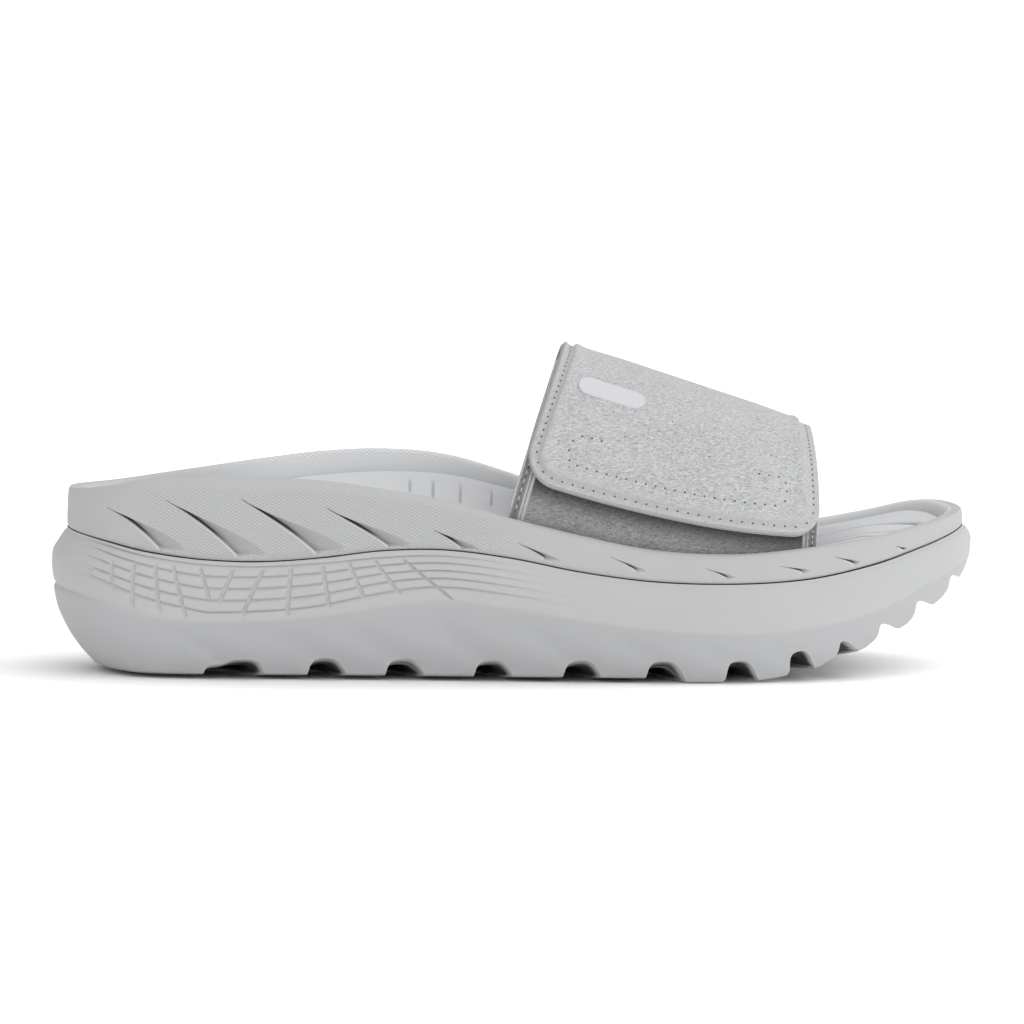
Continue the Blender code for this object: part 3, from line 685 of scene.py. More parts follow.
def seamSurface(turn, station, medial, edgeInset, lift):
    # where outsole and midsole meet: edge, shelf inside the lip and spine
    gap, thick = lastShape["gap"], lastShape["insoleThickness"]
    under = outsoleShape["underFootbed"]
    seam = bySide("seam", station, medial)
    shelf = np.minimum(seam - outsoleShape["shelfDrop"], footbedEdge(station, medial) - thick - gap - under)
    spine = spinePoint(station, lastShape["spineTo"])
    spineStation = spine[..., 0]
    both = 0.5 * (section["seamLateral"](spineStation) + section["seamMedial"](spineStation))
    floor = section["footbed"](spineStation) - thick - gap
    edgeRow = insetRow(turn, edgeInset, seam + lift)
    shelfInset = section["seamInset"](station) + outsoleShape["shelfInset"] + lift
    shelfRow = insetRow(turn, shelfInset, shelf + lift)
    return edgeRow, shelfRow, withHeight(spine, np.minimum(both, floor - under) + lift)


def ribLevels():
    rows = [(0.0, 0.0, 0.0), (0.4, 0.0, 0.0)]
    for line in range(1, 6):
        profile = [row for row in ribProfile if line < 5 or row[0] < 0.2]
        rows += [(line + offset, depth, crease) for offset, depth, crease in profile]
    return rows + [(level, 0.0, 0.0) for level in beadLevels]


def makeOutsole():
    shape = outsoleShape
    grooveCentres = crossAt(0.5)
    baseAngles, columns = bandColumns(0.5)
    baseStation = stationAt(baseAngles)
    weight, shade = np.zeros((2, len(baseAngles)))
    weight[columns] = np.tile(shape["crossProfile"], len(grooveCentres))
    shade[columns] = np.tile(shape["crossShadeShares"], len(grooveCentres))
    starts = columns[::len(shape["crossOffsets"])]
    grooveOf = np.maximum(np.searchsorted(starts, np.arange(len(weight)), side="right") - 1, 0)
    grooveTop = np.array(crossGrooves["topShare"])[grooveOf]
    grooveFoot = np.array(crossGrooves["footShare"])[grooveOf]

    def rowAngles(level):
        return bandColumns(ribShare(level, grooveCentres))[0]

    lowest = rowAngles(0.0)
    turn = fullTurn(lowest)
    station = bothSides(stationAt(lowest))
    medial = np.arange(len(turn)) >= len(lowest)
    band = section["band"](station)
    seam = bySide("seam", station, medial)
    footRow = insetRow(turn, wallInset(np.zeros_like(station), station) + shape["footRounding"], 0.0)
    lift = edgeLift(footRow[:, 0])
    floor = underside(footRow[:, 0]) + lift
    spine = spinePoint(station, lastShape["spineTo"])
    # painted light lifts the heel's foot and its underside, near the floor where shade falls
    heelFootPaintedLight = 1.0 - ease(station, 0.0, shape["heelBend"])
    rows, masks, addRow = rowStack("skirt", "crease", "foot")
    for inward in shape["soleRings"]:
        plan = footRow[:, :2] + (spine - footRow[:, :2]) * inward
        raised = lift * (1.0 - ease(inward, 0.0, shape["liftReach"]))
        addRow(withHeight(plan, underside(plan[:, 0]) + raised), skirt=1.0, foot=heelFootPaintedLight)
    # painted shade on the lower wall, which faces a little down, fading out at the band line; the underside
    # rows carry it as well
    for place in lowPlaces:
        height = floor + (band - floor) * place if place <= 1.0 else band + (seam - band) * (place - 1.0)
        inset = wallInset(np.full_like(station, place), station) + fluteDepth(station, height, place)
        rounding = shape["footRounding"] * 0.5 * max(1.0 - place / 0.03, 0.0)
        row = insetRow(turn, inset + rounding, height + 0.25 * (place == 0.0))
        addRow(row, skirt=1.0 - ease(place, 0.9, 1.05), foot=heelFootPaintedLight * (1.0 - ease(place, 0.0, 0.55)))
    ribFade = between(baseStation, *shape["ribFadeIn"], *shape["ribFadeOut"])
    for level, ribDepth, ribShadeShare in ribLevels():
        angles = rowAngles(level)
        share = ribShare(level, baseStation)
        soft = shape["crossSoftness"]
        reach = between(share, grooveFoot - soft, grooveFoot + soft, grooveTop - soft, grooveTop + soft)
        cross = shape["crossDepth"] * weight * reach
        ribs = shape["ribDepth"] * ribDepth * ribFade
        rise = max(level - shape["beadFrom"], 0.0) / shape["beadRun"]
        bead = shape["beadHeight"] * math.sin(math.pi * rise) * ribFade
        turn = fullTurn(angles)
        station = bothSides(stationAt(angles))
        place = 1.0 + bothSides(share)
        band = section["band"](station)
        height = band + (bySide("seam", station, medial) - band) * (place - 1.0)
        depth = bothSides(np.maximum(cross, ribs) - bead)
        row = insetRow(turn, wallInset(place, station) + depth, height)
        # painted shade in the rib grooves, less where a cross groove crosses them, and in the cross grooves
        ribShade = ribShadeShare * ribFade * (1.0 - np.clip(1.6 * weight * reach, 0.0, 1.0))
        ribShade = ribShade * (shape["topLineShade"] if level > 4.5 else 1.0)
        addRow(row, crease=bothSides(np.maximum(ribShade, shade * reach)))
    for row in seamSurface(turn, station, medial, section["seamInset"](station), 0.0):
        addRow(row)
    piece = gridPiece("outsoleFoam", rows, masks=masks)
    cutAway(piece, makeChannelCutter())
    paintHollowShadows(piece)
    return piece


def paintHollowShadows(piece):
    # a mask of painted shadow for the channels: 0 at the sole's wall, 1 a little way in, where the colour
    # goes near black
    shape = outsoleShape
    mesh = piece.data
    place = vertexPlaces(mesh) / mm + (0.5 * lastShape["length"], centreY, 0.0)
    hollowPaintedShadow = np.zeros(len(place))
    low = np.flatnonzero(place[:, 2] < underside(place[:, 0]) + shape["hollowShadowHeight"])
    spot = place[low]
    edge = outlinePoints[::2]
    gaps = np.hypot(spot[:, None, 0] - edge[None, :, 0], spot[:, None, 1] - edge[None, :, 1])
    nearest = edge[gaps.argmin(axis=1), 0]
    floor = underside(spot[:, 0])
    share = np.clip((spot[:, 2] - floor) / (section["band"](nearest) - floor), 0.0, 1.0)
    inside = gaps.min(axis=1) - wallInset(share, nearest)
    sole = floor + edgeLift(spot[:, 0]) * (1.0 - ease(inside / shape["soleHalf"], 0.0, shape["liftReach"]))
    hollowPaintedShadow[low] = ease(inside, *shape["hollowShadowFrom"]) * ease(spot[:, 2] - sole, *shape["hollowShadowOver"])
    addMask(mesh, "hollowPaintedShadow", hollowPaintedShadow)


def foamMaterial(name, look):
    material, tree, shader, place = newMaterial(name)
    finish = {"cloud": look["cloud"], "gloss": look["gloss"]}
    foam = groupNode(tree, foamGroup, place.outputs["Object"], look["tone"], **finish)
    colour = shadedTone(tree, foam.outputs["Color"], look)
    tree.links.new(foam.outputs["Roughness"], shader.inputs["Roughness"])
    normal = bumpNode(tree, foam.outputs["Height"], look["grain"], foamSkin["bump"])
    if "hatchPitch" in look:
        hatch = hatchHeight(tree, place, look)
        normal = bumpNode(tree, hatch, look["hatchStrength"], look["hatchDepth"] * mm, normal)
        value = mathNode(tree, "MULTIPLY_ADD", hatch, look["hatchTone"], 1.0)
        colour = scaledTone(tree, colour, value)
    tree.links.new(colour, shader.inputs["Base Color"])
    tree.links.new(normal, shader.inputs["Normal"])
    shader.inputs["Specular IOR Level"].default_value = look["specular"]
    return material


def hatchHeight(tree, place, look):
    # fine diamond texture that follows the wall, faded by the hatch mask
    parts = addNode(tree, "ShaderNodeSeparateXYZ", {0: place.outputs["UV"]})
    turns = 2.0 * math.pi / (look["hatchPitch"] * mm)
    waves = []
    for sign in (1.0, -1.0):
        steep = sign * look["hatchSteep"]
        across = mathNode(tree, "MULTIPLY_ADD", parts.outputs["Y"], steep, parts.outputs["X"])
        waves.append(mathNode(tree, "SINE", mathNode(tree, "MULTIPLY", across, turns)))
    diamond = mathNode(tree, "ADD", waves[0], waves[1])
    return mathNode(tree, "MULTIPLY", diamond, maskNode(tree, "hatch"))


# the outsole's shades: painted shade on the lower wall, painted shade in the rib and cross grooves, a
# near-black painted shadow deep in the lug channels, and painted light that lifts the heel's foot
outsoleLook = {
    "tone": grey(0.485), "cloud": 0.05, "gloss": 0.52, "grain": 0.1, "specular": 0.3,
    "shades": (
        ("skirt", 0.6, grey(0.43, 0.02)), ("crease", 0.26, grey(0.2)), ("hollowPaintedShadow", 0.96, grey(0.01)),
        ("foot", 0.5, grey(0.62)),
    ),
}
outsole = makeOutsole()
finishPiece(outsole, foamMaterial("outsoleFoamGrey", outsoleLook))
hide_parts("outsole")
print("outsole done")


# midsole: a rimmed tray with slashes in its wall
midsoleShape = {
    "lip": 0.7,
    "outsideInset": (0.10, 0.02, -0.02, 0.01, 0.06, 0.16, 0.30, 0.52),
    "outsideHeight": (0.0, 0.04, 0.12, 0.30, 0.50, 0.80, 0.95, 1.0),
    "insideInset": (0.52, 0.66, 0.78, 0.88, 0.95, 0.985),
    "insideHeight": (1.0, 0.97, 0.86, 0.62, 0.28, -0.1),
    "upright": 0.8,  # the rim leans less round the heel and the toe
    "uprightHeel": 24.0,
    "uprightToe": 20.0,
    "footPlace": 0.06,
    "footStep": 0.018,
    "leftBulge": 0.3,
    "rightBulge": 0.8,
    "tipWidth": 0.4,
    "tipFade": 0.3,
    "tipCurve": 0.7,
    "bevelWidth": 1.6,
    "bevelPlaces": (-0.85, -0.55, -0.1, 0.12),
    "bevelDepths": (0.06, 0.24),
    "litEnds": (0.03, 0.15, 0.97, 1.0),
    "ledgeFrom": (0.9, 1.0),
    "shortLedge": 0.25,
    "crackTip": (0.02, 0.12),
    "crackFade": (0.5, 0.8),
    "shortCrack": (0.25, 0.65),
    "shortShade": 0.9,
    "rampTip": (0.1, 0.3),
    "crackWidth": 0.8,
    "crackFoot": 0.3,
    "longSlashes": 5,
    "rampShade": 0.13,
    "relax": 9.0,
    "hatchEnds": (12.0, 34.0, 118.0, 160.0),
    "hatchHeights": (0.0, 0.03, 0.8, 0.96),
    "hatchClear": 6.0,
    "innerLean": (0.55, 0.62, 0.8, 0.88),
    # where across the rim the painted light on its inner faces comes in
    "bowlLightLean": (0.5, 0.7),
    "innerHatch": (50.0, 75.0, 105.0, 140.0),
    # the bowl's painted light: its share at the heel and where it grows to full
    "bowlLightHeel": 0.15,
    "bowlLightEnds": (30.0, 75.0),
    "columnsBefore": 14,
    "columnsBetween": 9,
    "columnsAfter": 20,
}

# the footbed's hollow, from its edge to its spine: share of the way in, share of the edge's height
bowlTable = ((0.0, 0.22, 0.55, 1.0), (1.0, 0.62, 0.2, 0.0))

# slashes: tip, foot and end of the foot from the heel; heights are shares of the wall
slashTable = {
    "tipAt": (14.6, 33.7, 56.1, 81.0, 111.9, 136.1, 162.9, 190.5, 213.0, 229.3, 248.1),
    "tipHeight": (0.60, 0.71, 0.75, 0.65, 0.38, 0.45, 0.61, 0.51, 0.53, 0.59, 0.44),
    "footAt": (32.4, 55.6, 78.5, 99.3, 120.2, 144.2, 170.5, 197.0, 219.8, 235.4, 250.4),
    "endAt": (40.7, 64.0, 86.9, 105.6, 125.4, 148.8, 173.8, 199.8, 222.4, 237.4, 251.8),
    "footHeight": (0.055, 0.055, 0.055, 0.055, 0.06, 0.17, 0.30, 0.21, 0.25, 0.20, 0.17),
    "depth": (2.0, 2.3, 2.3, 2.1, 1.7, 1.3, 0.95, 0.9, 0.9, 0.8, 0.6),
}
# columns of a slash: painted highlight on the bevel, painted shadow in the crack, painted shade on the ramp,
# and a painted highlight on the ledge at its foot
slashLit = (0.0, 1.0, 1.0, 0.0, 0.0, 0.0, 0.0, 0.0, 0.0)
slashCrack = (0.0, 0.0, 0.0, 1.0, 1.0, 0.0, 0.0, 0.0, 0.0)
slashRamp = (0.0, 0.0, 0.0, 0.0, 0.0, 1.0, 1.0, 0.0, 0.0)
slashFoot = (0.0, 0.0, 0.0, 1.0, 1.0, 1.0, 1.0, 0.0, 0.0)


def slashKnots(height):
    # columns of every slash at one height of the wall, with their depths:
    # guard, bevel, crack, ramp, edge and guard
    shape = midsoleShape
    tip, foot = np.array(slashTable["tipHeight"]), np.array(slashTable["footHeight"])
    t = np.clip((tip - height) / (tip - foot), 0.0, 1.0)
    tipAt = np.array(slashTable["tipAt"])
    left = tipAt + (np.array(slashTable["footAt"]) - tipAt) * (t + shape["leftBulge"] * t * (1.0 - t))
    right = tipAt + (np.array(slashTable["endAt"]) - tipAt) * (t + shape["rightBulge"] * t * t * (1.0 - t))
    least = shape["tipWidth"] + shape["relax"] * np.clip(height - tip, 0.0, None)
    width = np.maximum(right - left, least)
    near = np.minimum(1.0, width / shape["bevelWidth"])
    bevel = np.multiply.outer(near, np.array(shape["bevelPlaces"]))
    crack = np.minimum(shape["crackWidth"], 0.55 * width)
    ramp = np.minimum(crack + 0.5, 0.75 * width)
    lastRamp = np.maximum(crack + 0.95 * (width - crack), ramp + 0.05)
    knots = np.column_stack([bevel, crack, ramp, lastRamp, width + 0.08, width + 0.5])
    full = np.array(slashTable["depth"]) * np.clip(t / shape["tipFade"], 0.0, 1.0) ** shape["tipCurve"]
    slope = np.clip((width[:, None] - knots[:, 4:7]) / (width - crack)[:, None], 0.0, 1.0)
    none = np.zeros_like(t)
    bevelDepth = np.multiply.outer(full, np.array(shape["bevelDepths"]))
    depth = np.column_stack([none, bevelDepth, full, full[:, None] * slope, none, none])
    return left[:, None] + knots, depth, t


def slashShade(t):
    # the crack's painted shadow is darkest over a long slash's upper part and a short one's foot; the ramp
    # gets a little painted shade
    shape = midsoleShape
    long = ease(t, *shape["crackTip"]) * (1.0 - (1.0 - shape["crackFoot"]) * ease(t, *shape["crackFade"]))
    short = shape["shortShade"] * ease(t, *shape["shortCrack"])
    fade = np.where(np.arange(len(t)) < shape["longSlashes"], long, short)
    crack = np.multiply.outer(fade, np.array(slashCrack))
    return crack + np.multiply.outer(shape["rampShade"] * ease(t, *shape["rampTip"]), np.array(slashRamp))


def wallColumns(height):
    shape = midsoleShape
    knots, depth, t = slashKnots(height)
    # painted highlight on a slash's bevel and on the ledge at its foot
    lit = np.multiply.outer(between(t, *shape["litEnds"]), np.array(slashLit))
    ledge = np.where(np.arange(len(t)) < shape["longSlashes"], 1.0, shape["shortLedge"])
    foot = np.multiply.outer(ledge * ease(t, *shape["ledgeFrom"]), np.array(slashFoot))
    angles, columns = groupedColumns(knots, shape)
    spread = np.zeros((4, len(angles)))
    for row, values in zip(spread, (depth, slashShade(t), lit, foot)):
        row[columns] = values.ravel()
    return angles, *spread


def rimLean(station):
    heel = 1.0 - ease(station, 0.0, midsoleShape["uprightHeel"])
    toe = ease(station, lastShape["length"] - midsoleShape["uprightToe"], lastShape["length"])
    return 1.0 - midsoleShape["upright"] * np.maximum(heel, toe)


def makeMidsole():
    shape = midsoleShape
    outside = roundedProfile(np.column_stack([shape["outsideInset"], shape["outsideHeight"]]), 3)
    inside = roundedProfile(np.column_stack([shape["insideInset"], shape["insideHeight"]]), 3)
    footAt = np.array(slashTable["footAt"])
    footHeight = np.array(slashTable["footHeight"])
    low, step = shape["footPlace"], shape["footStep"]
    places = [0.0, 0.015, 0.03, low - step, low + step, *np.linspace(0.1, 0.9, 32), 0.925, 0.95]

    def heightAt(place, station):
        foot = np.interp(station, footAt, footHeight)
        above = foot + (place - low) / (1.0 - low) * (1.0 - foot)
        return np.where(place < low, place / low * foot, above)

    rows, masks, pushRow = rowStack("hatch", "shade", "lit", "bowl")
    turns = []

    def addRow(row, turn, **given):
        pushRow(row, **given)
        turns.append(turn)

    angles, *_ = wallColumns(heightAt(0.03, footAt))
    turn = fullTurn(angles)
    medial = np.arange(len(turn)) >= len(angles)
    station = bothSides(stationAt(angles))
    edgeInset = section["seamInset"](station) + shape["lip"]
    for row in reversed(seamSurface(turn, station, medial, edgeInset, lastShape["gap"])):
        addRow(row, turn)
    for place in places:
        angles, depths, shades, lit, foot = wallColumns(heightAt(place, footAt))
        turn = fullTurn(angles)
        station = bothSides(stationAt(angles))
        height = heightAt(place, station)
        seam = bySide("seam", station, medial) + lastShape["gap"]
        rim = bySide("rim", station, medial)
        lean = np.interp(height, outside[:, 1], outside[:, 0]) * rimLean(station)
        depth = bothSides(depths) * (place > low)
        inset = section["seamInset"](station) + section["rimWidth"](station) * lean + depth
        fade = between(station, *shape["hatchEnds"]) * between(place, *shape["hatchHeights"])
        fade = fade * (1.0 - np.clip(depth * shape["hatchClear"], 0.0, 1.0))
        row = insetRow(turn, inset, seam + (rim - seam) * height)
        above = float(place > low)
        ledge = float(abs(place - low) < 1.5 * step)
        addRow(
            row, turn, hatch=fade, shade=bothSides(shades) * above * (1.0 - ledge),
            lit=bothSides(np.maximum(lit * above, foot * ledge)),
        )
    width = section["rimWidth"](station)
    wall = section["seamInset"](station)
    for lean, height in [point for point in outside if point[1] > 0.955][::2]:
        addRow(insetRow(turn, wall + width * lean * rimLean(station), seam + (rim - seam) * height), turn)
    edge = footbedEdge(station, medial)
    band = medial * between(station, *shape["innerHatch"])
    # painted light on the rim's inner faces and the bowl, weaker round the heel
    bowlPaintedLight = shape["bowlLightHeel"] + (1.0 - shape["bowlLightHeel"]) * ease(station, *shape["bowlLightEnds"])
    for lean, height in inside[1::2]:
        mask = band * between(lean, *shape["innerLean"])
        row = insetRow(turn, wall + width * lean, edge + (rim - edge) * height)
        addRow(row, turn, hatch=mask, bowl=ease(lean, *shape["bowlLightLean"]) * bowlPaintedLight)
    recess = edge - lastShape["insoleThickness"] - lastShape["gap"]
    start = insetRow(turn, wall + width, recess)
    spine = spinePoint(station, lastShape["spineTo"])
    centre = section["footbed"](spine[:, 0]) - lastShape["insoleThickness"] - lastShape["gap"]
    for inward, edgeShare in zip(*bowlTable):
        plan = start[:, :2] + (spine - start[:, :2]) * inward
        addRow(withHeight(plan, centre + (recess - centre) * edgeShare), turn)
    rows, turns = np.array(rows), np.array(turns)
    run = np.interp(turns, outlineTurns, outlineRun)
    surface = np.stack([run, rows[:, :, 2]], axis=-1)
    closing = np.stack([np.full(len(rows), outlineRun[-1]), rows[:, 0, 2]], axis=-1)
    surface = np.concatenate([surface, closing[:, None]], axis=1)
    return gridPiece("midsoleFoam", rows, surface=surface, masks=masks)


# the midsole's shades: painted light on the rim's inner faces and the bowl, painted highlights on the
# slashes' bevels and ledges, a painted shadow in their cracks and painted shade on their ramps
midsoleLook = {
    "tone": grey(0.472), "cloud": 0.04, "gloss": 0.6, "grain": 0.1, "specular": 0.25,
    "shades": (("bowl", 1.0, grey(0.71, 0.02)), ("lit", 0.8, grey(0.62)), ("shade", 0.93, grey(0.03))),
    "hatchPitch": 1.75, "hatchSteep": 1.75, "hatchDepth": 0.05, "hatchStrength": 0.9, "hatchTone": 0.06,
}
midsole = makeMidsole()
finishPiece(midsole, foamMaterial("midsoleFoamGrey", midsoleLook), 30.0)
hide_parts("midsole")
print("midsole done")


# footbed: soft foam with a long groove to the toe and short ones at the arch
footbedShape = {
    "spineTo": 240.0,
    "edgeRounding": 0.8,
    "groove": 10.6,  # distance from the spine
    "grooveAhead": 15.0,  # and from its end, so that the end is oval
    "grooveHalf": 1.9,
    "grooveDepth": 1.4,
    "grooveFrom": (176.0, 200.0),
    "medialFrom": (206.0, 240.0),
    "second": 19.0,
    "secondDepth": 0.9,
    "secondEnds": (190.0, 214.0, 240.0, 252.0),
    "inner": 22.0,
    "barsAt": (104.6, 111.3, 119.2, 128.2),
    "barHalf": 0.5,
    "barOffsets": (-1.0, -0.5, 0.0, 0.5, 1.0),
    "barProfile": (0.0, 0.7, 1.0, 0.7, 0.0),
    "barDepth": 0.7,
    "barFrom": 0.1,
    "barShade": 0.25,
    "barTo": (0.24, 0.30, 0.36, 0.28),
    "columnsBefore": 60,
    "columnsBetween": 3,
    "columnsAfter": 80,
}
grooveProfile = (
    (1.0, 0.0), (0.7, 0.3), (0.4, 0.85), (0.1, 1.0), (-0.2, 1.0), (-0.45, 0.75), (-0.7, 0.3), (-1.0, 0.0),
)


def footbedColumns():
    # columns with the bars' weights, and the bar that each belongs to
    shape = footbedShape
    bars = np.array(shape["barsAt"])
    offsets = shape["barHalf"] * np.array(shape["barOffsets"])
    angles, columns = groupedColumns(bars[:, None] + offsets, shape)
    weight, bar = np.zeros(len(angles)), np.zeros(len(angles), int)
    weight[columns] = np.tile(shape["barProfile"], len(bars))
    bar[columns] = np.repeat(np.arange(len(bars)), len(offsets))
    return angles, weight, bar


def makeFootbed():
    shape = footbedShape
    angles, weight, bar = footbedColumns()
    turn = fullTurn(angles)
    station = bothSides(stationAt(angles))
    medial = np.arange(len(turn)) >= len(angles)
    gap, thick = lastShape["gap"], lastShape["insoleThickness"]
    edgeInset = section["seamInset"](station) + section["rimWidth"](station) + gap
    edge = footbedEdge(station, medial)
    spine = spinePoint(station, shape["spineTo"])
    centre = section["footbed"](spine[:, 0])
    bowl = evenCurve(*bowlTable)
    barWeight = bothSides(weight) * medial
    barFrom, barEnd = shape["barFrom"], np.array(shape["barTo"])[bothSides(bar)]
    grooveFade = np.where(medial, ease(station, *shape["medialFrom"]), ease(station, *shape["grooveFrom"]))
    secondFade = np.where(medial, 0.0, between(station, *shape["secondEnds"]))
    # the mask paints shade into the toe grooves and the arch bars
    rows, masks, addRow = rowStack("crease")

    def ringAt(start, distance, drop):
        # a row at a distance from the spine, with its share of the way in
        share = distance / np.maximum(np.linalg.norm(start[:, :2] - spine, axis=1), tiny)
        plan = spine + (start[:, :2] - spine) * share[:, None]
        height = centre + (edge - centre) * bowl(np.clip(1.0 - share, 0.0, 1.0))
        return 1.0 - share, withHeight(plan, height - drop)

    outer = insetRow(turn, edgeInset, edge)
    start = insetRow(turn, edgeInset + shape["edgeRounding"], edge)
    full = np.linalg.norm(outer[:, :2] - spine, axis=1)
    for share in (0.0, 0.5, 1.0):
        addRow(ringAt(outer, full * share, thick)[1])
    addRow(insetRow(turn, edgeInset, edge - 0.9))
    addRow(insetRow(turn, edgeInset + 0.25, edge - 0.3))
    full = np.linalg.norm(start[:, :2] - spine, axis=1)
    inner = np.minimum(shape["inner"], 0.94 * full)
    ahead, aside = np.abs((start[:, :2] - spine) / full[:, None]).T
    half = shape["grooveHalf"]
    oval = 1.0 / np.hypot(ahead / shape["grooveAhead"], aside / shape["groove"])
    oval = np.minimum(oval, 0.9 * inner - half)
    for share in (0.0, 0.03, 0.07, 0.12, 0.18, 0.25, 0.33, 0.42, 0.52, 0.63, 0.74, 0.84, 0.93, 1.0):
        inward, row = ringAt(start, full + (inner - full) * share, 0.0)
        reach = between(inward, barFrom - 0.04, barFrom + 0.02, barEnd - 0.03, barEnd + 0.03)
        row[:, 2] -= shape["barDepth"] * barWeight * reach
        addRow(row, crease=shape["barShade"] * barWeight * reach)
    grooveEdge = shape["groove"] + half
    for offset, share in grooveProfile:
        place = (shape["second"] + offset * half - grooveEdge) / (shape["inner"] - grooveEdge)
        distance = oval + half + (inner - oval - half) * place
        shade = share * secondFade
        addRow(ringAt(start, distance, shape["secondDepth"] * shade)[1], crease=shade)
    for offset, share in grooveProfile:
        shade = share * grooveFade
        addRow(ringAt(start, oval + offset * half, shape["grooveDepth"] * shade)[1], crease=shade)
    for share in (0.75, 0.5, 0.25, 0.0):
        addRow(ringAt(start, (oval - half) * share, 0.0)[1])
    return gridPiece("footbedFoam", rows, masks=masks)


# the footbed's tone is lighter than the midsole's as painted light from above; its mask paints shade into the
# grooves
footbedLook = {
    "tone": grey(0.65, 0.02), "cloud": 0.05, "gloss": 0.68, "grain": 0.22, "specular": 0.22,
    "shades": (("crease", 0.95, grey(0.06)),),
}
footbed = makeFootbed()
finishPiece(footbed, foamMaterial("footbedFoamGrey", footbedLook))
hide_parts("insole")
print("footbed done")


# strap: a superellipse arch from root to root, its top line falling to the toe
strapShape = {
    "power": 2.5,
    "rearRoot": 132.3,
    "rearLean": 16.5,
    "rearCurve": 1.45,
    "rearBow": 1.5,
    "medialShift": 3.2,
    "frontRoot": 222.4,
    "frontBow": 4.0,
    "frontLean": 0.3,
    "topRear": 91.5,
    "topRearAt": 153.0,
    "topSlope": 0.338,
    "peakShift": 4.0,
    "seat": 0.5,
    "standoff": 0.9,
    "wall": 2.8,
    "liftFrom": math.radians(84.0),
    "liftTo": math.radians(118.0),
    "flapFront": 41.4,
    "flapRearRise": 17.3,
    "flapSweep": 1.6,
    "rearRadius": 10.0,
    "frontRadius": 8.0,
    "curl": 1.3,
    "curlReach": 9.0,
    "flare": 1.1,
    "flareReach": 3.6,
    "flareTurns": (0.8, 1.2, 1.75, 2.2),
}


def archShares(turn):
    power = 2.0 / strapShape["power"]
    return np.abs(np.cos(turn)) ** power, np.abs(np.sin(turn)) ** power


def strapEnds(turn):
    shape = strapShape
    high = archShares(turn)[1]
    rear = shape["rearRoot"] + shape["rearLean"] * high ** shape["rearCurve"]
    rear = rear + shape["rearBow"] * 4.0 * high * (1.0 - high)
    rear = rear + np.where(np.asarray(turn) > 0.5 * math.pi, shape["medialShift"] * (1.0 - high), 0.0)
    front = shape["frontRoot"] + shape["frontBow"] * high * (1.0 - high) - shape["frontLean"] * high**3
    return rear, front


def strapBase(share, turn):
    shape = strapShape
    flat, high = archShares(turn)
    rear, front = strapEnds(turn)
    station = rear + (front - rear) * share
    medial = turn > 0.5 * math.pi
    inset = section["seamInset"](station) + section["rimWidth"](station) + shape["seat"]
    rootTurn = angleAt(station)
    rootTurn = np.where(medial, 2.0 * math.pi - rootTurn, rootTurn)
    root = planPoint(rootTurn)[..., 1] + inset / planInward(rootTurn)[..., 1]
    peak = centreLine(station) + shape["peakShift"]
    low = footbedEdge(station, medial) - lastShape["insoleThickness"]
    top = shape["topRear"] - shape["topSlope"] * (station - shape["topRearAt"])
    return np.stack([station, peak + (root - peak) * flat, low + (top - low) * high], axis=-1)


def strapOutward(share, turn):
    step = 1e-3
    turn = np.clip(turn, 2.0 * step, math.pi - 2.0 * step)
    along = strapBase(share + step, turn) - strapBase(share - step, turn)
    over = strapBase(share, turn + step) - strapBase(share, turn - step)
    outward = np.cross(along, over)
    return outward / np.linalg.norm(outward, axis=-1, keepdims=True)


def strapLayer(share, turn, lift):
    step = 2e-3
    turn = np.clip(turn, step, math.pi - step)
    return strapBase(share, turn) + strapOutward(share, turn) * np.asarray(lift)[..., None]


def strapLift(turn):
    shape = strapShape
    fall = ease(turn, shape["liftFrom"], shape["liftTo"])
    return shape["standoff"] - (shape["standoff"] + shape["wall"]) * fall


def flapLift(across, run, turn):
    # the flap's free end curls off the tab, and the top of the rear edge flares
    shape = strapShape
    curl = shape["curl"] * (1.0 - ease(run, 0.0, shape["curlReach"]))
    top = between(turn, *shape["flareTurns"])
    flare = shape["flare"] * (1.0 - ease(across, 0.0, shape["flareReach"])) * top
    return strapLift(turn) + curl + flare


# run along the arch from the flap's free edge, for a row of shares
archTurns = np.linspace(0.004, math.pi - 0.004, 420)
archKeys = np.linspace(-0.02, 1.02, 105)


def flapEdge(share):
    # height of the flap's free edge, which rises to the rear
    shape = strapShape
    return shape["flapFront"] + shape["flapRearRise"] * np.clip(1.0 - share, 0.0, 1.0) ** shape["flapSweep"]


def archTable():
    share = np.broadcast_to(archKeys[:, None], (len(archKeys), len(archTurns)))
    points = strapBase(share, np.broadcast_to(archTurns, share.shape))
    steps = np.linalg.norm(np.diff(points, axis=1), axis=2)
    run = np.concatenate([np.zeros((len(archKeys), 1)), np.cumsum(steps, axis=1)], axis=1)
    near = archTurns < 0.5 * math.pi
    edges = flapEdge(archKeys)
    start = [np.interp(z, row[near, 2], length[near]) for z, row, length in zip(edges, points, run)]
    return run - np.array(start)[:, None]


archRun = archTable()


def turnAt(share, run):
    # the turn at a run from the flap's edge, point by point
    place = (np.clip(share, archKeys[0], archKeys[-1]) - archKeys[0]) / (archKeys[1] - archKeys[0])
    index = np.clip(place.astype(int), 0, len(archKeys) - 2)
    blend = place - index
    found = np.empty(share.shape)
    for spot in np.ndindex(share.shape):
        i, b = index[spot], blend[spot]
        found[spot] = np.interp(run[spot], archRun[i] * (1.0 - b) + archRun[i + 1] * b, archTurns)
    return found


def onStrap(across, run):
    # share and turn of a place given from the rear edge and from the flap's edge
    turn = np.full(np.shape(across), 0.6)
    for _ in range(4):
        rear, front = strapEnds(turn)
        share = across / (front - rear)
        turn = turnAt(share, run)
    return share, turn


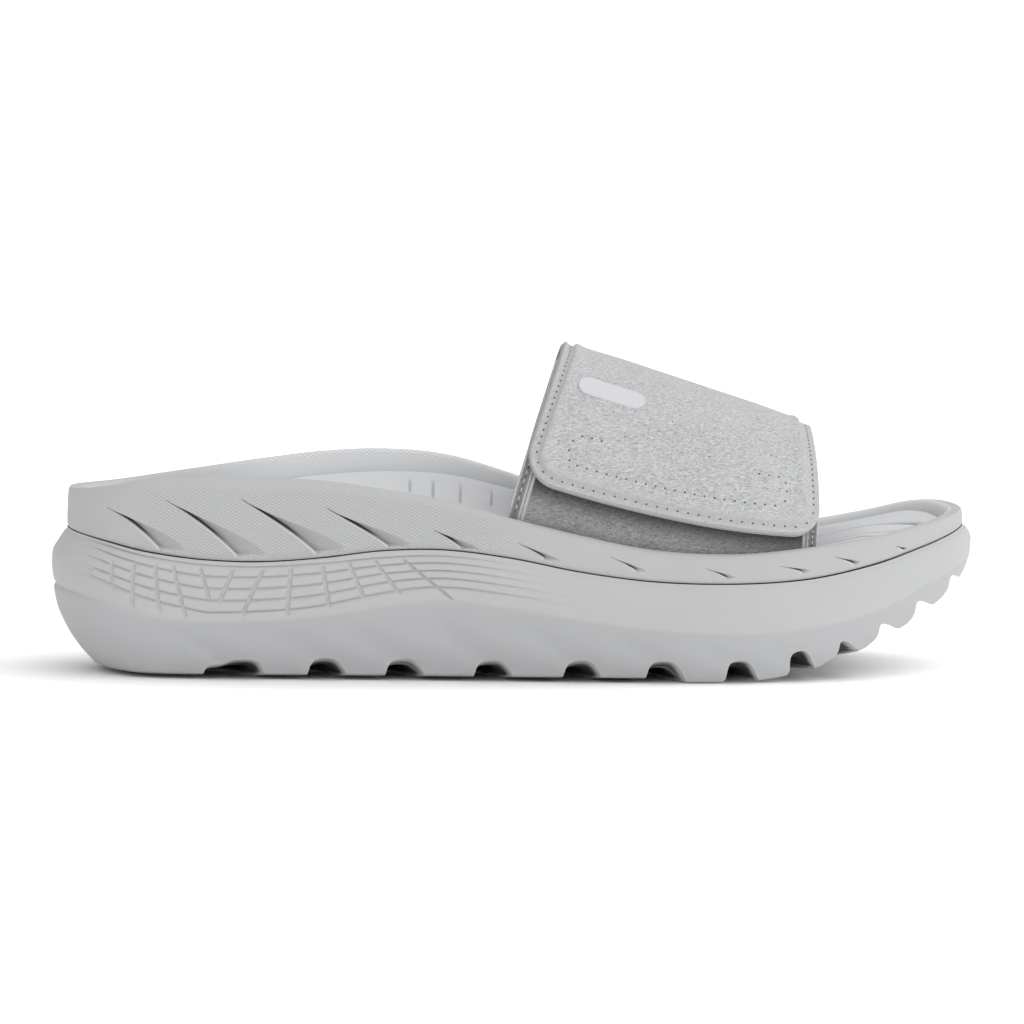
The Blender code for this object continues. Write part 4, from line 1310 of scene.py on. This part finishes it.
def roundCorner(first, second, radius):
    # bends the corner of a square grid into an arc
    inside = (first < radius) & (second < radius)
    u, v = np.clip(1.0 - first / radius, 0.0, 1.0), np.clip(1.0 - second / radius, 0.0, 1.0)
    newFirst = radius * (1.0 - u * np.sqrt(1.0 - 0.5 * v * v))
    newSecond = radius * (1.0 - v * np.sqrt(1.0 - 0.5 * u * u))
    return np.where(inside, newFirst, first), np.where(inside, newSecond, second)


def cornerDistance(first, second, radius):
    arc = radius - np.hypot(np.clip(radius - first, 0.0, None), np.clip(radius - second, 0.0, None))
    return np.where((first < radius) & (second < radius), arc, np.minimum(first, second))


def flapDistance(fromRear, fromFront, fromEnd, radii):
    # distance to the nearest edge of the flap, round its two corners
    sides = zip((fromRear, fromFront), radii)
    return np.minimum(*(cornerDistance(side, fromEnd, radius) for side, radius in sides))


def cornerRadii(endInset):
    return strapShape["rearRadius"] - endInset, strapShape["frontRadius"] - endInset


# lines of the flap's grid from its edges, close together at the border, the stitches and the patch
flapGrid = {
    "near": (
        0.0, 0.12, 0.3, 0.6, 0.9, 1.2, 1.5, 1.8, 2.1, 2.4, 2.7, 3.0, 3.3, 3.7, 4.1, 4.5, 5.0, 5.6, 6.3,
        6.8, 7.2, 7.6, 8.0, 8.5, 9.2, 9.8, 10.3, 10.8, 11.4,
    ),
    "acrossMiddle": 34,
    "runMiddle": (12.6, 13.8, 14.9, 15.6, 16.1, 16.6, 17.0, 17.4, 17.9, 18.5, 19.5),
    "runSteps": 64,
}


def flapPlaces(insets):
    # grid of places on the flap: distance from the rear edge, from the front edge and from the flap's edge
    rearInset, frontInset, endInset = insets
    near = np.array(flapGrid["near"])
    middle = np.linspace(0.0, 1.0, flapGrid["acrossMiddle"] + 2)[1:-1]
    runs = np.concatenate([near, flapGrid["runMiddle"]])
    columnCount = 2 * len(near) + len(middle)
    share = np.linspace(0.0, 1.0, columnCount)
    full = np.interp(share, archKeys, archRun[:, -1])[:, None]
    far = np.linspace(0.0, 1.0, flapGrid["runSteps"] + 1)[1:]
    nearRuns = np.broadcast_to(runs, (columnCount, len(runs)))
    run = np.concatenate([nearRuns, runs[-1] + (full - runs[-1]) * far], axis=1)
    run = endInset + run * (1.0 - endInset / full)
    turn = turnAt(np.broadcast_to(share[:, None], run.shape), run)
    for _ in range(2):
        rear, front = strapEnds(turn)
        span = front - rear
        left = np.broadcast_to((near + rearInset)[:, None], (len(near), run.shape[1]))
        right = span[-len(near):] - (near + frontInset)[::-1, None]
        inside = span[len(near):-len(near)] - rearInset - frontInset - 2.0 * near[-1]
        across = np.concatenate([left, rearInset + near[-1] + inside * middle[:, None], right])
        turn = turnAt(across / span, run)
    return across, span - across, run, span


def flapSurface(insets):
    rearInset, frontInset, endInset = insets
    across, ahead, run, span = flapPlaces(insets)
    rearRadius, frontRadius = cornerRadii(endInset)
    fromRear, fromEnd = roundCorner(across - rearInset, run - endInset, rearRadius)
    fromFront, fromEnd = roundCorner(ahead - frontInset, fromEnd, frontRadius)
    bent = fromFront != ahead - frontInset
    fromRear = np.where(bent, span - rearInset - frontInset - fromFront, fromRear)
    near = flapDistance(fromRear, fromFront, fromEnd, (rearRadius, frontRadius))
    share = (fromRear + rearInset) / span
    turn = turnAt(share, fromEnd + endInset)
    return share, turn, near, fromRear + rearInset, fromFront + frontInset, fromEnd + endInset


def layerPiece(name, share, turn, low, high, masks=None):
    top = strapLayer(share, turn, high)
    bottom = strapLayer(share, turn, low)
    rings = np.concatenate([top, bottom[:, ::-1]], axis=1)
    count = top.shape[1]
    ends = []
    for ring in (rings[0], rings[-1]):
        middle = 0.5 * (ring[:count] + ring[count:][::-1])
        ends.append(np.concatenate([middle, middle[::-1]]))
    spread = {}
    for mask, values in (masks or {}).items():
        both = np.concatenate([values, values[:, ::-1]], axis=1)
        spread[mask] = np.concatenate([both[:1], both, both[-1:]])
    return gridPiece(name, np.concatenate([ends[0][None], rings, ends[1][None]]), masks=spread)


# insets are from the rear, the front and the flap's edge; lifts are over the strap's inner face
strapLayers = {
    "suedeInsets": (0.6, 0.3, 0.8), "suedeLow": 1.15, "borderTop": 2.0, "panelTop": 2.95, "crown": 0.3,
    "crownFrom": 5.5, "crownTo": 18.0, "stepFrom": 2.3, "stepTo": 3.3, "ridgeAt": 4.0, "ridgeHalf": 1.2,
    "ridge": 0.35, "widen": 1.0, "stitchAt": 1.8, "stitchGroove": 0.18, "stitchHalf": 0.5, "edgeRound": 0.4,
    "edgeDrop": 0.4, "edgeLift": 0.15, "widenAhead": (6.0, 9.0), "widenRun": (6.0, 14.0),
    "borderEnds": (3.2, 5.2),
    "foamInsets": (0.3, 0.15, 0.4), "foamLow": 0.72, "foamHigh": 1.12, "foamBevel": 0.12, "foamRound": 0.25,
    "liningInsets": (0.0, 0.0, 0.0), "liningHigh": 0.7, "liningBevel": 0.22, "liningRound": 0.3,
}
patchShape = {
    "rear": 11.0, "front": 10.0, "low": 8.0, "high": 16.4, "radius": 3.2, "groove": 0.22, "half": 0.7,
    "lift": 0.08, "liftEnds": (-2.0, -0.6), "upperRow": 6.0, "padLength": 62.0, "padTop": 0.03,
}


def patchDistance(across, ahead, run):
    # signed distance to the stitched outline of the fastener patch, below zero inside it
    first = np.maximum(patchShape["rear"] - across, patchShape["front"] - ahead) + patchShape["radius"]
    second = np.maximum(patchShape["low"] - run, run - patchShape["high"]) + patchShape["radius"]
    outside = np.hypot(np.clip(first, 0.0, None), np.clip(second, 0.0, None))
    return outside + np.minimum(np.maximum(first, second), 0.0) - patchShape["radius"]


def suedeTop(distance, across, ahead, run):
    # a low border with a stitched groove, a rolled fold and the padded panel; the front border is wider
    layers = strapLayers
    wider = (1.0 - ease(ahead, *layers["widenAhead"])) * ease(run, *layers["widenRun"])
    inner = distance - layers["widen"] * wider
    step = ease(inner, layers["stepFrom"], layers["stepTo"])
    top = layers["borderTop"] + (layers["panelTop"] - layers["borderTop"]) * step
    top = top + layers["crown"] * ease(distance, layers["crownFrom"], layers["crownTo"])
    fold = np.exp(-((inner - layers["ridgeAt"]) / layers["ridgeHalf"]) ** 2)
    groove = np.exp(-((distance - layers["stitchAt"]) / layers["stitchHalf"]) ** 2)
    drop = layers["edgeDrop"] * edgeFall(distance, layers["edgeRound"]) ** 2
    patch = patchDistance(across, ahead, run)
    top = top + layers["ridge"] * fold - layers["stitchGroove"] * groove - drop
    top = top - patchShape["groove"] * np.exp(-(patch / patchShape["half"]) ** 2)
    return top + patchShape["lift"] * (1.0 - ease(patch, *patchShape["liftEnds"]))


def makeStrap():
    layers = strapLayers

    def layerPlaces(insets):
        share, turn, near, *places = flapSurface(layers[insets])
        return share, turn, near, places, flapLift(places[0], places[2], turn)

    share, turn, near, places, lift = layerPlaces("suedeInsets")
    low = lift + layers["suedeLow"] + layers["edgeLift"] * edgeFall(near, layers["edgeRound"]) ** 2
    border = 1.0 - ease(near, *layers["borderEnds"])
    suede = layerPiece("strapSuede", share, turn, low, lift + suedeTop(near, *places), {"border": border})
    share, turn, near, _, lift = layerPlaces("foamInsets")
    bevel = layers["foamBevel"] * edgeFall(near, layers["foamRound"])
    low, high = lift + layers["foamLow"] + bevel, lift + layers["foamHigh"] - bevel
    foam = layerPiece("strapFoam", share, turn, low, high)
    share, turn, near, _, lift = layerPlaces("liningInsets")
    bevel = layers["liningBevel"] * edgeFall(near, layers["liningRound"]) ** 2
    lining = layerPiece("strapLining", share, turn, lift + bevel, lift + layers["liningHigh"] - bevel)
    return suede, foam, lining


# the tab under the flap; strips run along its edges from one distance to another
tabShape = {
    "endTurn": math.radians(74.0), "wall": 2.4, "suede": 1.3, "binding": (-0.45, 3.2), "bindingLift": 0.4,
    "piping": (3.25, 4.3), "pipingLift": 0.3, "shadeReach": 7.0, "bevel": 0.25, "bevelShare": 0.006,
    "stripSquare": 0.35, "coreEnds": (0.5, 0.75),
}


def makeTab():
    shape = tabShape
    shares = np.concatenate([[0.0, 0.003, 0.01], np.linspace(0.03, 0.97, 40), [0.99, 0.997, 1.0]])
    turns = np.linspace(0.004, shape["endTurn"], 44)
    share, turn = np.meshgrid(shares, turns, indexing="ij")
    edge = shape["bevel"] * edgeFall(np.minimum(share, 1.0 - share), shape["bevelShare"]) ** 2
    under = flapEdge(share) - strapBase(share, turn)[..., 2]
    # painted shadow of the flap on the tab, darkest at the flap's edge and fading downwards
    shade = 1.0 - ease(under, -1.0, shape["shadeReach"])
    suede = layerPiece("tabSuede", share, turn, edge - shape["suede"], -edge, {"shade": shade})
    lining = layerPiece("tabLining", share, turn, edge - shape["wall"], -shape["suede"] - 0.05 - edge)
    strips = []
    for label, front in (("rear", False), ("front", True)):
        strips.append(edgeStrip(label + "Binding", front, turns, shape["binding"], shape["bindingLift"]))
        strips.append(edgeStrip(label + "Piping", front, turns, shape["piping"], shape["pipingLift"]))
    return suede, lining, strips


def edgeStrip(name, front, turns, reach, raised):
    # a rounded strip along the tab's edge, with a mask over the middle of its faces
    middle, half = 0.5 * (reach[0] + reach[1]), 0.5 * (reach[1] - reach[0])
    depth = 0.5 * (tabShape["wall"] + 2.0 * raised)
    sides = np.linspace(0.0, 2.0 * math.pi, 36, endpoint=False)
    flat, tall = np.cos(sides), np.sin(sides)
    square = tabShape["stripSquare"]
    aside = np.sign(flat) * np.abs(flat) ** square
    across = middle + half * aside
    lift = -0.5 * tabShape["wall"] + depth * np.sign(tall) * np.abs(tall) ** square
    rings = []
    for turn in turns:
        spread = np.full(len(sides), turn)
        rear, edge = strapEnds(spread)
        share = across / (edge - rear)
        rings.append(strapLayer(1.0 - share if front else share, spread, lift))
    core = 1.0 - ease(np.abs(aside), *tabShape["coreEnds"])
    core = np.broadcast_to(core, (len(turns) + 2, len(sides)))
    return gridPiece(name, closedRings(rings), masks={"core": core})


labelShape = {
    "rear": 7.5, "length": 19.0, "low": 28.5, "height": 6.2, "radius": 3.0, "foot": 2.0, "rise": 0.2,
    "bevel": 0.15, "bevelRun": 0.4,
}


def slabPiece(name, rear, length, low, height, radius, lowLift, topLift):
    # a thin rounded bar laid on the strap
    across, run = np.meshgrid(np.linspace(0.0, length, 45), np.linspace(0.0, height, 25), indexing="ij")
    for flipAcross in (False, True):
        for flipRun in (False, True):
            first = length - across if flipAcross else across
            second = height - run if flipRun else run
            first, second = roundCorner(first, second, radius)
            across = length - first if flipAcross else first
            run = height - second if flipRun else second
    share, turn = onStrap(across + rear, run + low)
    lift = strapLift(turn)
    corners = [(first, second) for first in (across, length - across) for second in (run, height - run)]
    near = np.min([cornerDistance(first, second, radius) for first, second in corners], axis=0)
    edge = labelShape["bevel"] * edgeFall(near, labelShape["bevelRun"]) ** 2
    return layerPiece(name, share, turn, lift + lowLift, lift + topLift - edge)


# stitches
stitchShape = {
    "sidePitch": 2.0, "endPitch": 3.05, "patchPitch": 2.8, "bindingPitch": 2.6, "farRun": 84.0,
    "thread": (1.3, 0.45, 0.3), "hole": (0.7, 0.7, 0.24),
}


def evenPlaces(path, pitch):
    path = np.asarray(path, float)
    run = runAlong(path)
    count = max(int(round(run[-1] / pitch)), 1)
    stops = (np.arange(count) + 0.5) * run[-1] / count
    return np.column_stack([np.interp(stops, run, path[:, axis]) for axis in (0, 1)])


def flapStitchPaths():
    # down the rear edge, round under the flap, and up the front edge
    rearInset, frontInset, endInset = strapLayers["suedeInsets"]
    at, far = strapLayers["stitchAt"], stitchShape["farRun"]
    radii = cornerRadii(endInset)

    def corner(inset, radius, side, angles):
        bend = radius - at
        across = inset + radius - bend * np.cos(angles)
        run = endInset + radius - bend * np.sin(angles)
        return [(*place, side) for place in zip(across, run)]

    quarter = np.linspace(0.0, 0.5 * math.pi, 12)
    rear = [(rearInset + at, run, "rear") for run in np.linspace(far, endInset + radii[0], 40)]
    under = corner(rearInset, radii[0], "rear", quarter)
    under += [(share, endInset + at, "between") for share in np.linspace(0.0, 1.0, 30)[1:-1]]
    under += corner(frontInset, radii[1], "front", quarter[::-1])
    front = [(frontInset + at, run, "front") for run in np.linspace(endInset + radii[1], far, 40)]
    return rear, under, front


def patchPath():
    shape = patchShape
    points = []
    corners = (
        ("rear", "high", 90.0), ("rear", "low", 180.0), ("front", "low", 270.0), ("front", "high", 0.0),
    )
    for side, level, start in corners:
        inward = 1.0 if level == "low" else -1.0
        for angle in np.radians(np.linspace(start, start + 90.0, 7)):
            aside = math.cos(angle) if side == "rear" else -math.cos(angle)
            run = shape[level] + shape["radius"] * (inward + math.sin(angle))
            points.append((shape[side] + shape["radius"] * (1.0 + aside), run, side))
    # the upper row shows only at its ends
    upper = shape["radius"] + shape["upperRow"]
    first, last = ((shape[side] + upper, shape["high"], side) for side in ("rear", "front"))
    return [first, *points, last]


def fromRearEdge(points):
    # turns places from either edge, or shares between the corners, into places from the rear edge
    rearInset, frontInset, endInset = strapLayers["suedeInsets"]
    rearRadius, frontRadius = cornerRadii(endInset)
    result = []
    for first, run, side in points:
        turn = np.array([0.4])
        for _ in range(3):
            rear, front = strapEnds(turn)
            span = float((front - rear)[0])
            across = first if side == "rear" else span - first
            if side == "between":
                start = rearInset + rearRadius
                across = start + (span - frontInset - frontRadius - start) * first
            turn = turnAt(np.array([across / span]), np.array([run]))
        result.append((across, run))
    return result


def suedeHeight(across, run, turn):
    rearInset, frontInset, endInset = strapLayers["suedeInsets"]
    rear, front = strapEnds(turn)
    ahead = front - rear - across
    near = flapDistance(across - rearInset, ahead - frontInset, run - endInset, cornerRadii(endInset))
    return flapLift(across, run, turn) + suedeTop(near, across, ahead, run)


def frameMatrices(centre, ahead, outward):
    matrices = []
    for point, along, up in zip(toFrame(centre), ahead, outward):
        zAxis = Vector(up).normalized()
        xAxis = (Vector(along) - zAxis * zAxis.dot(Vector(along))).normalized()
        yAxis = zAxis.cross(xAxis)
        turn = Matrix((xAxis, yAxis, zAxis)).transposed().to_4x4()
        matrices.append(Matrix.Translation(Vector(point)) @ turn)
    return matrices


def copyPiece(name, template, matrices):
    copies = []
    for matrix in matrices:
        copy = bpy.data.objects.new(name, template.data.copy())
        bpy.context.scene.collection.objects.link(copy)
        copy.data.transform(matrix)
        copies.append(copy)
    piece = joinPieces(copies)
    bpy.data.objects.remove(template, do_unlink=True)
    piece.name = name
    piece.data.name = name
    return piece


def beadTemplate(size):
    bpy.ops.object.select_all(action="DESELECT")
    bpy.ops.mesh.primitive_uv_sphere_add(segments=8, ring_count=5, radius=0.5 * mm)
    bead = bpy.context.active_object
    bpy.ops.object.mode_set(mode="EDIT")
    bpy.ops.mesh.select_all(action="SELECT")
    bpy.ops.transform.resize(value=size)
    bpy.ops.object.mode_set(mode="OBJECT")
    return bead


def makeStitches():
    shape = stitchShape
    rear, under, front = (fromRearEdge(path) for path in flapStitchPaths())
    rows = [(rear, shape["sidePitch"]), (under, shape["endPitch"]), (front, shape["sidePitch"])]
    rows.append((fromRearEdge(patchPath()), shape["patchPitch"]))
    threads, holes = [], []

    def addStitches(centre, outward):
        ahead = np.gradient(centre, axis=0)
        holes.extend(frameMatrices(centre, ahead, outward))
        threads.extend(frameMatrices(0.5 * (centre[1:] + centre[:-1]), ahead[:-1], outward[:-1]))

    for path, pitch in rows:
        across, run = evenPlaces(path, pitch).T
        share, turn = onStrap(across, run)
        addStitches(strapLayer(share, turn, suedeHeight(across, run, turn)), strapOutward(share, turn))
    for onFront in (False, True):
        turns = np.linspace(0.12, 0.9 * tabShape["endTurn"], 60)
        length = runAlong(strapLayer(np.zeros(60), turns, np.zeros(60)))
        turn = np.interp(np.arange(0.0, length[-1], shape["bindingPitch"]), length, turns)
        rear, edge = strapEnds(turn)
        share = 0.5 * sum(tabShape["binding"]) / (edge - rear)
        share = 1.0 - share if onFront else share
        lift = np.full(len(turn), tabShape["bindingLift"])
        addStitches(strapLayer(share, turn, lift), strapOutward(share, turn))
    stitches = copyPiece("strapStitches", beadTemplate(shape["thread"]), threads)
    return stitches, copyPiece("stitchHoles", beadTemplate(shape["hole"]), holes)


def suedeMaterial(name, look):
    material, tree, shader, place = newMaterial(name)
    nap = groupNode(tree, napGroup, place.outputs["Object"], look["tone"], speckle=look["speckle"])
    tree.links.new(shadedTone(tree, nap.outputs["Color"], look), shader.inputs["Base Color"])
    tree.links.new(nap.outputs["Roughness"], shader.inputs["Roughness"])
    normal = bumpNode(tree, nap.outputs["Height"], look["nap"], napSkin["bump"])
    tree.links.new(normal, shader.inputs["Normal"])
    shader.inputs["Specular IOR Level"].default_value = napSkin["specular"]
    shader.inputs["Sheen Weight"].default_value = look["sheen"]
    shader.inputs["Sheen Roughness"].default_value = napSkin["sheenRough"]
    return material


def clothMaterial(name, tone, pitch):
    # plain knitted lining
    material, tree, shader, place = newMaterial(name)
    parts = addNode(tree, "ShaderNodeSeparateXYZ", {0: place.outputs["Object"]})
    turns = 2.0 * math.pi / (pitch * mm)
    across = mathNode(tree, "SINE", mathNode(tree, "MULTIPLY", parts.outputs["X"], turns))
    upward = mathNode(tree, "ADD", parts.outputs["Y"], parts.outputs["Z"])
    along = mathNode(tree, "SINE", mathNode(tree, "MULTIPLY", upward, turns))
    weave = mathNode(tree, "MULTIPLY", across, along)
    cloud = noiseNode(tree, place.outputs["Object"], 120.0, 3.0)
    shift = mathNode(tree, "MULTIPLY_ADD", weave, 0.06, mathNode(tree, "MULTIPLY_ADD", cloud, 0.12, 0.94))
    tree.links.new(scaledTone(tree, tone[:3], shift), shader.inputs["Base Color"])
    tree.links.new(bumpNode(tree, weave, 0.5, 0.0002), shader.inputs["Normal"])
    tree.links.new(mathNode(tree, "MULTIPLY_ADD", cloud, 0.15, 0.78), shader.inputs["Roughness"])
    shader.inputs["Specular IOR Level"].default_value = 0.15
    return material


strapLook = {
    "tone": grey(0.485), "speckle": 1.3, "nap": 0.4, "sheen": 0.05,
    "shades": (("border", 0.55, grey(0.49)),),
}
# the tab's shade mask paints the flap's shadow near the flap's edge
tabLook = {
    "tone": grey(0.30, 0.0), "speckle": 1.5, "nap": 0.4, "sheen": 0.04,
    "shades": (("shade", 0.8, grey(0.03)),),
}
bindingLook = {
    "tone": grey(0.50), "speckle": 1.0, "nap": 0.4, "sheen": 0.04,
    "shades": (("core", 0.8, grey(0.12)),),
}
pipingLook = {"tone": grey(0.46), "speckle": 0.5, "nap": 0.3, "sheen": 0.04}
foamLook = {"tone": grey(0.48), "cloud": 0.1, "gloss": 0.8, "grain": 0.5, "specular": 0.1}
liningMaterial = clothMaterial("liningKnitGrey", grey(0.36), 0.9)
suede, strapFoam, lining = makeStrap()
finishPiece(suede, suedeMaterial("strapSuedeGrey", strapLook))
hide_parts("upper")
finishPiece(strapFoam, foamMaterial("strapFoamGrey", foamLook))
finishPiece(lining, liningMaterial)
tabSuede, tabLining, strips = makeTab()
finishPiece(tabSuede, suedeMaterial("tabSuedeGrey", tabLook))
finishPiece(tabLining, liningMaterial)
bindingMaterial = suedeMaterial("bindingGrey", bindingLook)
pipingMaterial = suedeMaterial("pipingGrey", pipingLook)
for strip in strips:
    finishPiece(strip, bindingMaterial if "Binding" in strip.name else pipingMaterial)
print("strap and tab done")

pad = slabPiece(
    "fastenerPad", patchShape["rear"], patchShape["padLength"], patchShape["low"],
    patchShape["high"] - patchShape["low"], patchShape["radius"],
    -strapShape["standoff"] - patchShape["padTop"], patchShape["padTop"],
)
finishPiece(pad, clothMaterial("fastenerHooks", grey(0.3), 0.7))
labelTop = strapLayers["panelTop"] + strapLayers["crown"] + labelShape["rise"]
label = slabPiece(
    "strapLabel", labelShape["rear"], labelShape["length"], labelShape["low"], labelShape["height"],
    labelShape["radius"], labelShape["foot"], labelTop,
)
labelLook = {"tone": (0.60, 0.595, 0.625, 1.0), "cloud": 0.05, "gloss": 0.6, "grain": 0.2, "specular": 0.2}
finishPiece(label, foamMaterial("labelPale", labelLook))

stitches, stitchHoles = makeStitches()
threadLook = {"tone": grey(0.5), "cloud": 0.1, "gloss": 0.7, "grain": 0.3, "specular": 0.2}
# dark discs at the stitch holes are painted shade
holeLook = {"tone": grey(0.13), "cloud": 0.1, "gloss": 0.9, "grain": 0.2, "specular": 0.05}
finishPiece(stitches, foamMaterial("threadGrey", threadLook), 80.0)
finishPiece(stitchHoles, foamMaterial("stitchHolePaintedShade", holeLook), 80.0)
print("stitches done")


# camera, floor and light
stageShape = {
    "distance": 2.5, "elevation": math.radians(5.0), "target": (0.0, 0.0, 0.0457), "pixel": 0.29348e-3,
    "pixels": 1024, "sensor": 36.0, "floorSize": 30.0, "ambient": 0.82, "fromToe": 0.45, "fromAbove": 0.25,
    "glow": 0.24, "glowScale": (7.6, 16.0, 0.0), "glowShift": (0.2, 0.0, 0.0),
    "glowEnds": (0.75, 1.35), "floorTone": (0.96, 0.96, 0.96, 1.0), "backdrop": 1.1,
    "key": 0.35, "keyAngle": 60.0, "keyToward": (-0.35, 0.5, -0.8),
}


def makeCamera():
    shape = stageShape
    camera = bpy.data.objects.new("camera", bpy.data.cameras.new("camera"))
    bpy.context.scene.collection.objects.link(camera)
    back = Vector((0.0, -math.cos(shape["elevation"]), math.sin(shape["elevation"])))
    camera.location = Vector(shape["target"]) + shape["distance"] * back
    camera.rotation_euler = (0.5 * math.pi - shape["elevation"], 0.0, 0.0)
    camera.data.sensor_width = shape["sensor"]
    camera.data.lens = shape["sensor"] * shape["distance"] / (shape["pixels"] * shape["pixel"])
    camera.data.clip_end = 100.0
    bpy.context.scene.camera = camera


def makeFloor():
    bpy.ops.object.select_all(action="DESELECT")
    bpy.ops.mesh.primitive_plane_add(size=stageShape["floorSize"])
    floor = bpy.context.active_object
    floor.name = "studioFloor"
    material, tree, shader, place = newMaterial("studioFloorWhite")
    shader.inputs["Base Color"].default_value = stageShape["floorTone"]
    shader.inputs["Roughness"].default_value = 0.9
    shader.inputs["Specular IOR Level"].default_value = 0.0
    # the sweep glows a little away from the shoe, so the shadow stays close to it
    scaled = addNode(tree, "ShaderNodeMapping", {
        "Vector": place.outputs["Object"], "Scale": stageShape["glowScale"],
        "Location": stageShape["glowShift"],
    })
    away = addNode(tree, "ShaderNodeVectorMath", {0: scaled.outputs[0]}, operation="LENGTH").outputs["Value"]
    near, far = stageShape["glowEnds"]
    ends = {"Value": away, "From Min": near, "From Max": far, "To Min": 0.0, "To Max": stageShape["glow"]}
    glow = addNode(tree, "ShaderNodeMapRange", ends, interpolation_type="SMOOTHSTEP").outputs[0]
    tree.links.new(glow, shader.inputs["Emission Color"])
    shader.inputs["Emission Strength"].default_value = 1.0
    floor.data.materials.append(material)


def addSun(name, toward, energy, angle):
    sun = bpy.data.objects.new(name, bpy.data.lights.new(name, "SUN"))
    bpy.context.scene.collection.objects.link(sun)
    sun.data.energy = energy
    sun.data.angle = math.radians(angle)
    sun.rotation_euler = Vector(toward).to_track_quat("-Z", "Y").to_euler()


def makeLight():
    # white surroundings to the camera, softer ones to the shoe, brighter from above and from the toe
    world = bpy.data.worlds.new("studio")
    bpy.context.scene.world = world
    world.use_nodes = True
    tree = world.node_tree
    soft = tree.nodes["Background"]
    soft.inputs["Color"].default_value = (1.0, 1.0, 1.0, 1.0)
    toward = addNode(tree, "ShaderNodeTexCoord").outputs["Generated"]
    parts = addNode(tree, "ShaderNodeSeparateXYZ", {0: toward})
    above = mathNode(tree, "MULTIPLY_ADD", parts.outputs["Z"], stageShape["fromAbove"], stageShape["ambient"])
    strength = mathNode(tree, "MULTIPLY_ADD", parts.outputs["X"], stageShape["fromToe"], above)
    tree.links.new(strength, soft.inputs["Strength"])
    shine = {"Color": (1.0, 1.0, 1.0, 1.0), "Strength": stageShape["backdrop"]}
    white = addNode(tree, "ShaderNodeBackground", shine)
    ray = addNode(tree, "ShaderNodeLightPath")
    shares = {0: ray.outputs["Is Camera Ray"], 1: soft.outputs[0], 2: white.outputs[0]}
    mix = addNode(tree, "ShaderNodeMixShader", shares)
    tree.links.new(mix.outputs[0], tree.nodes["World Output"].inputs["Surface"])
    addSun("keyLight", stageShape["keyToward"], stageShape["key"], stageShape["keyAngle"])


makeCamera()
makeFloor()
makeLight()
bpy.context.scene.view_settings.view_transform = "Standard"
print("camera, floor and light done")
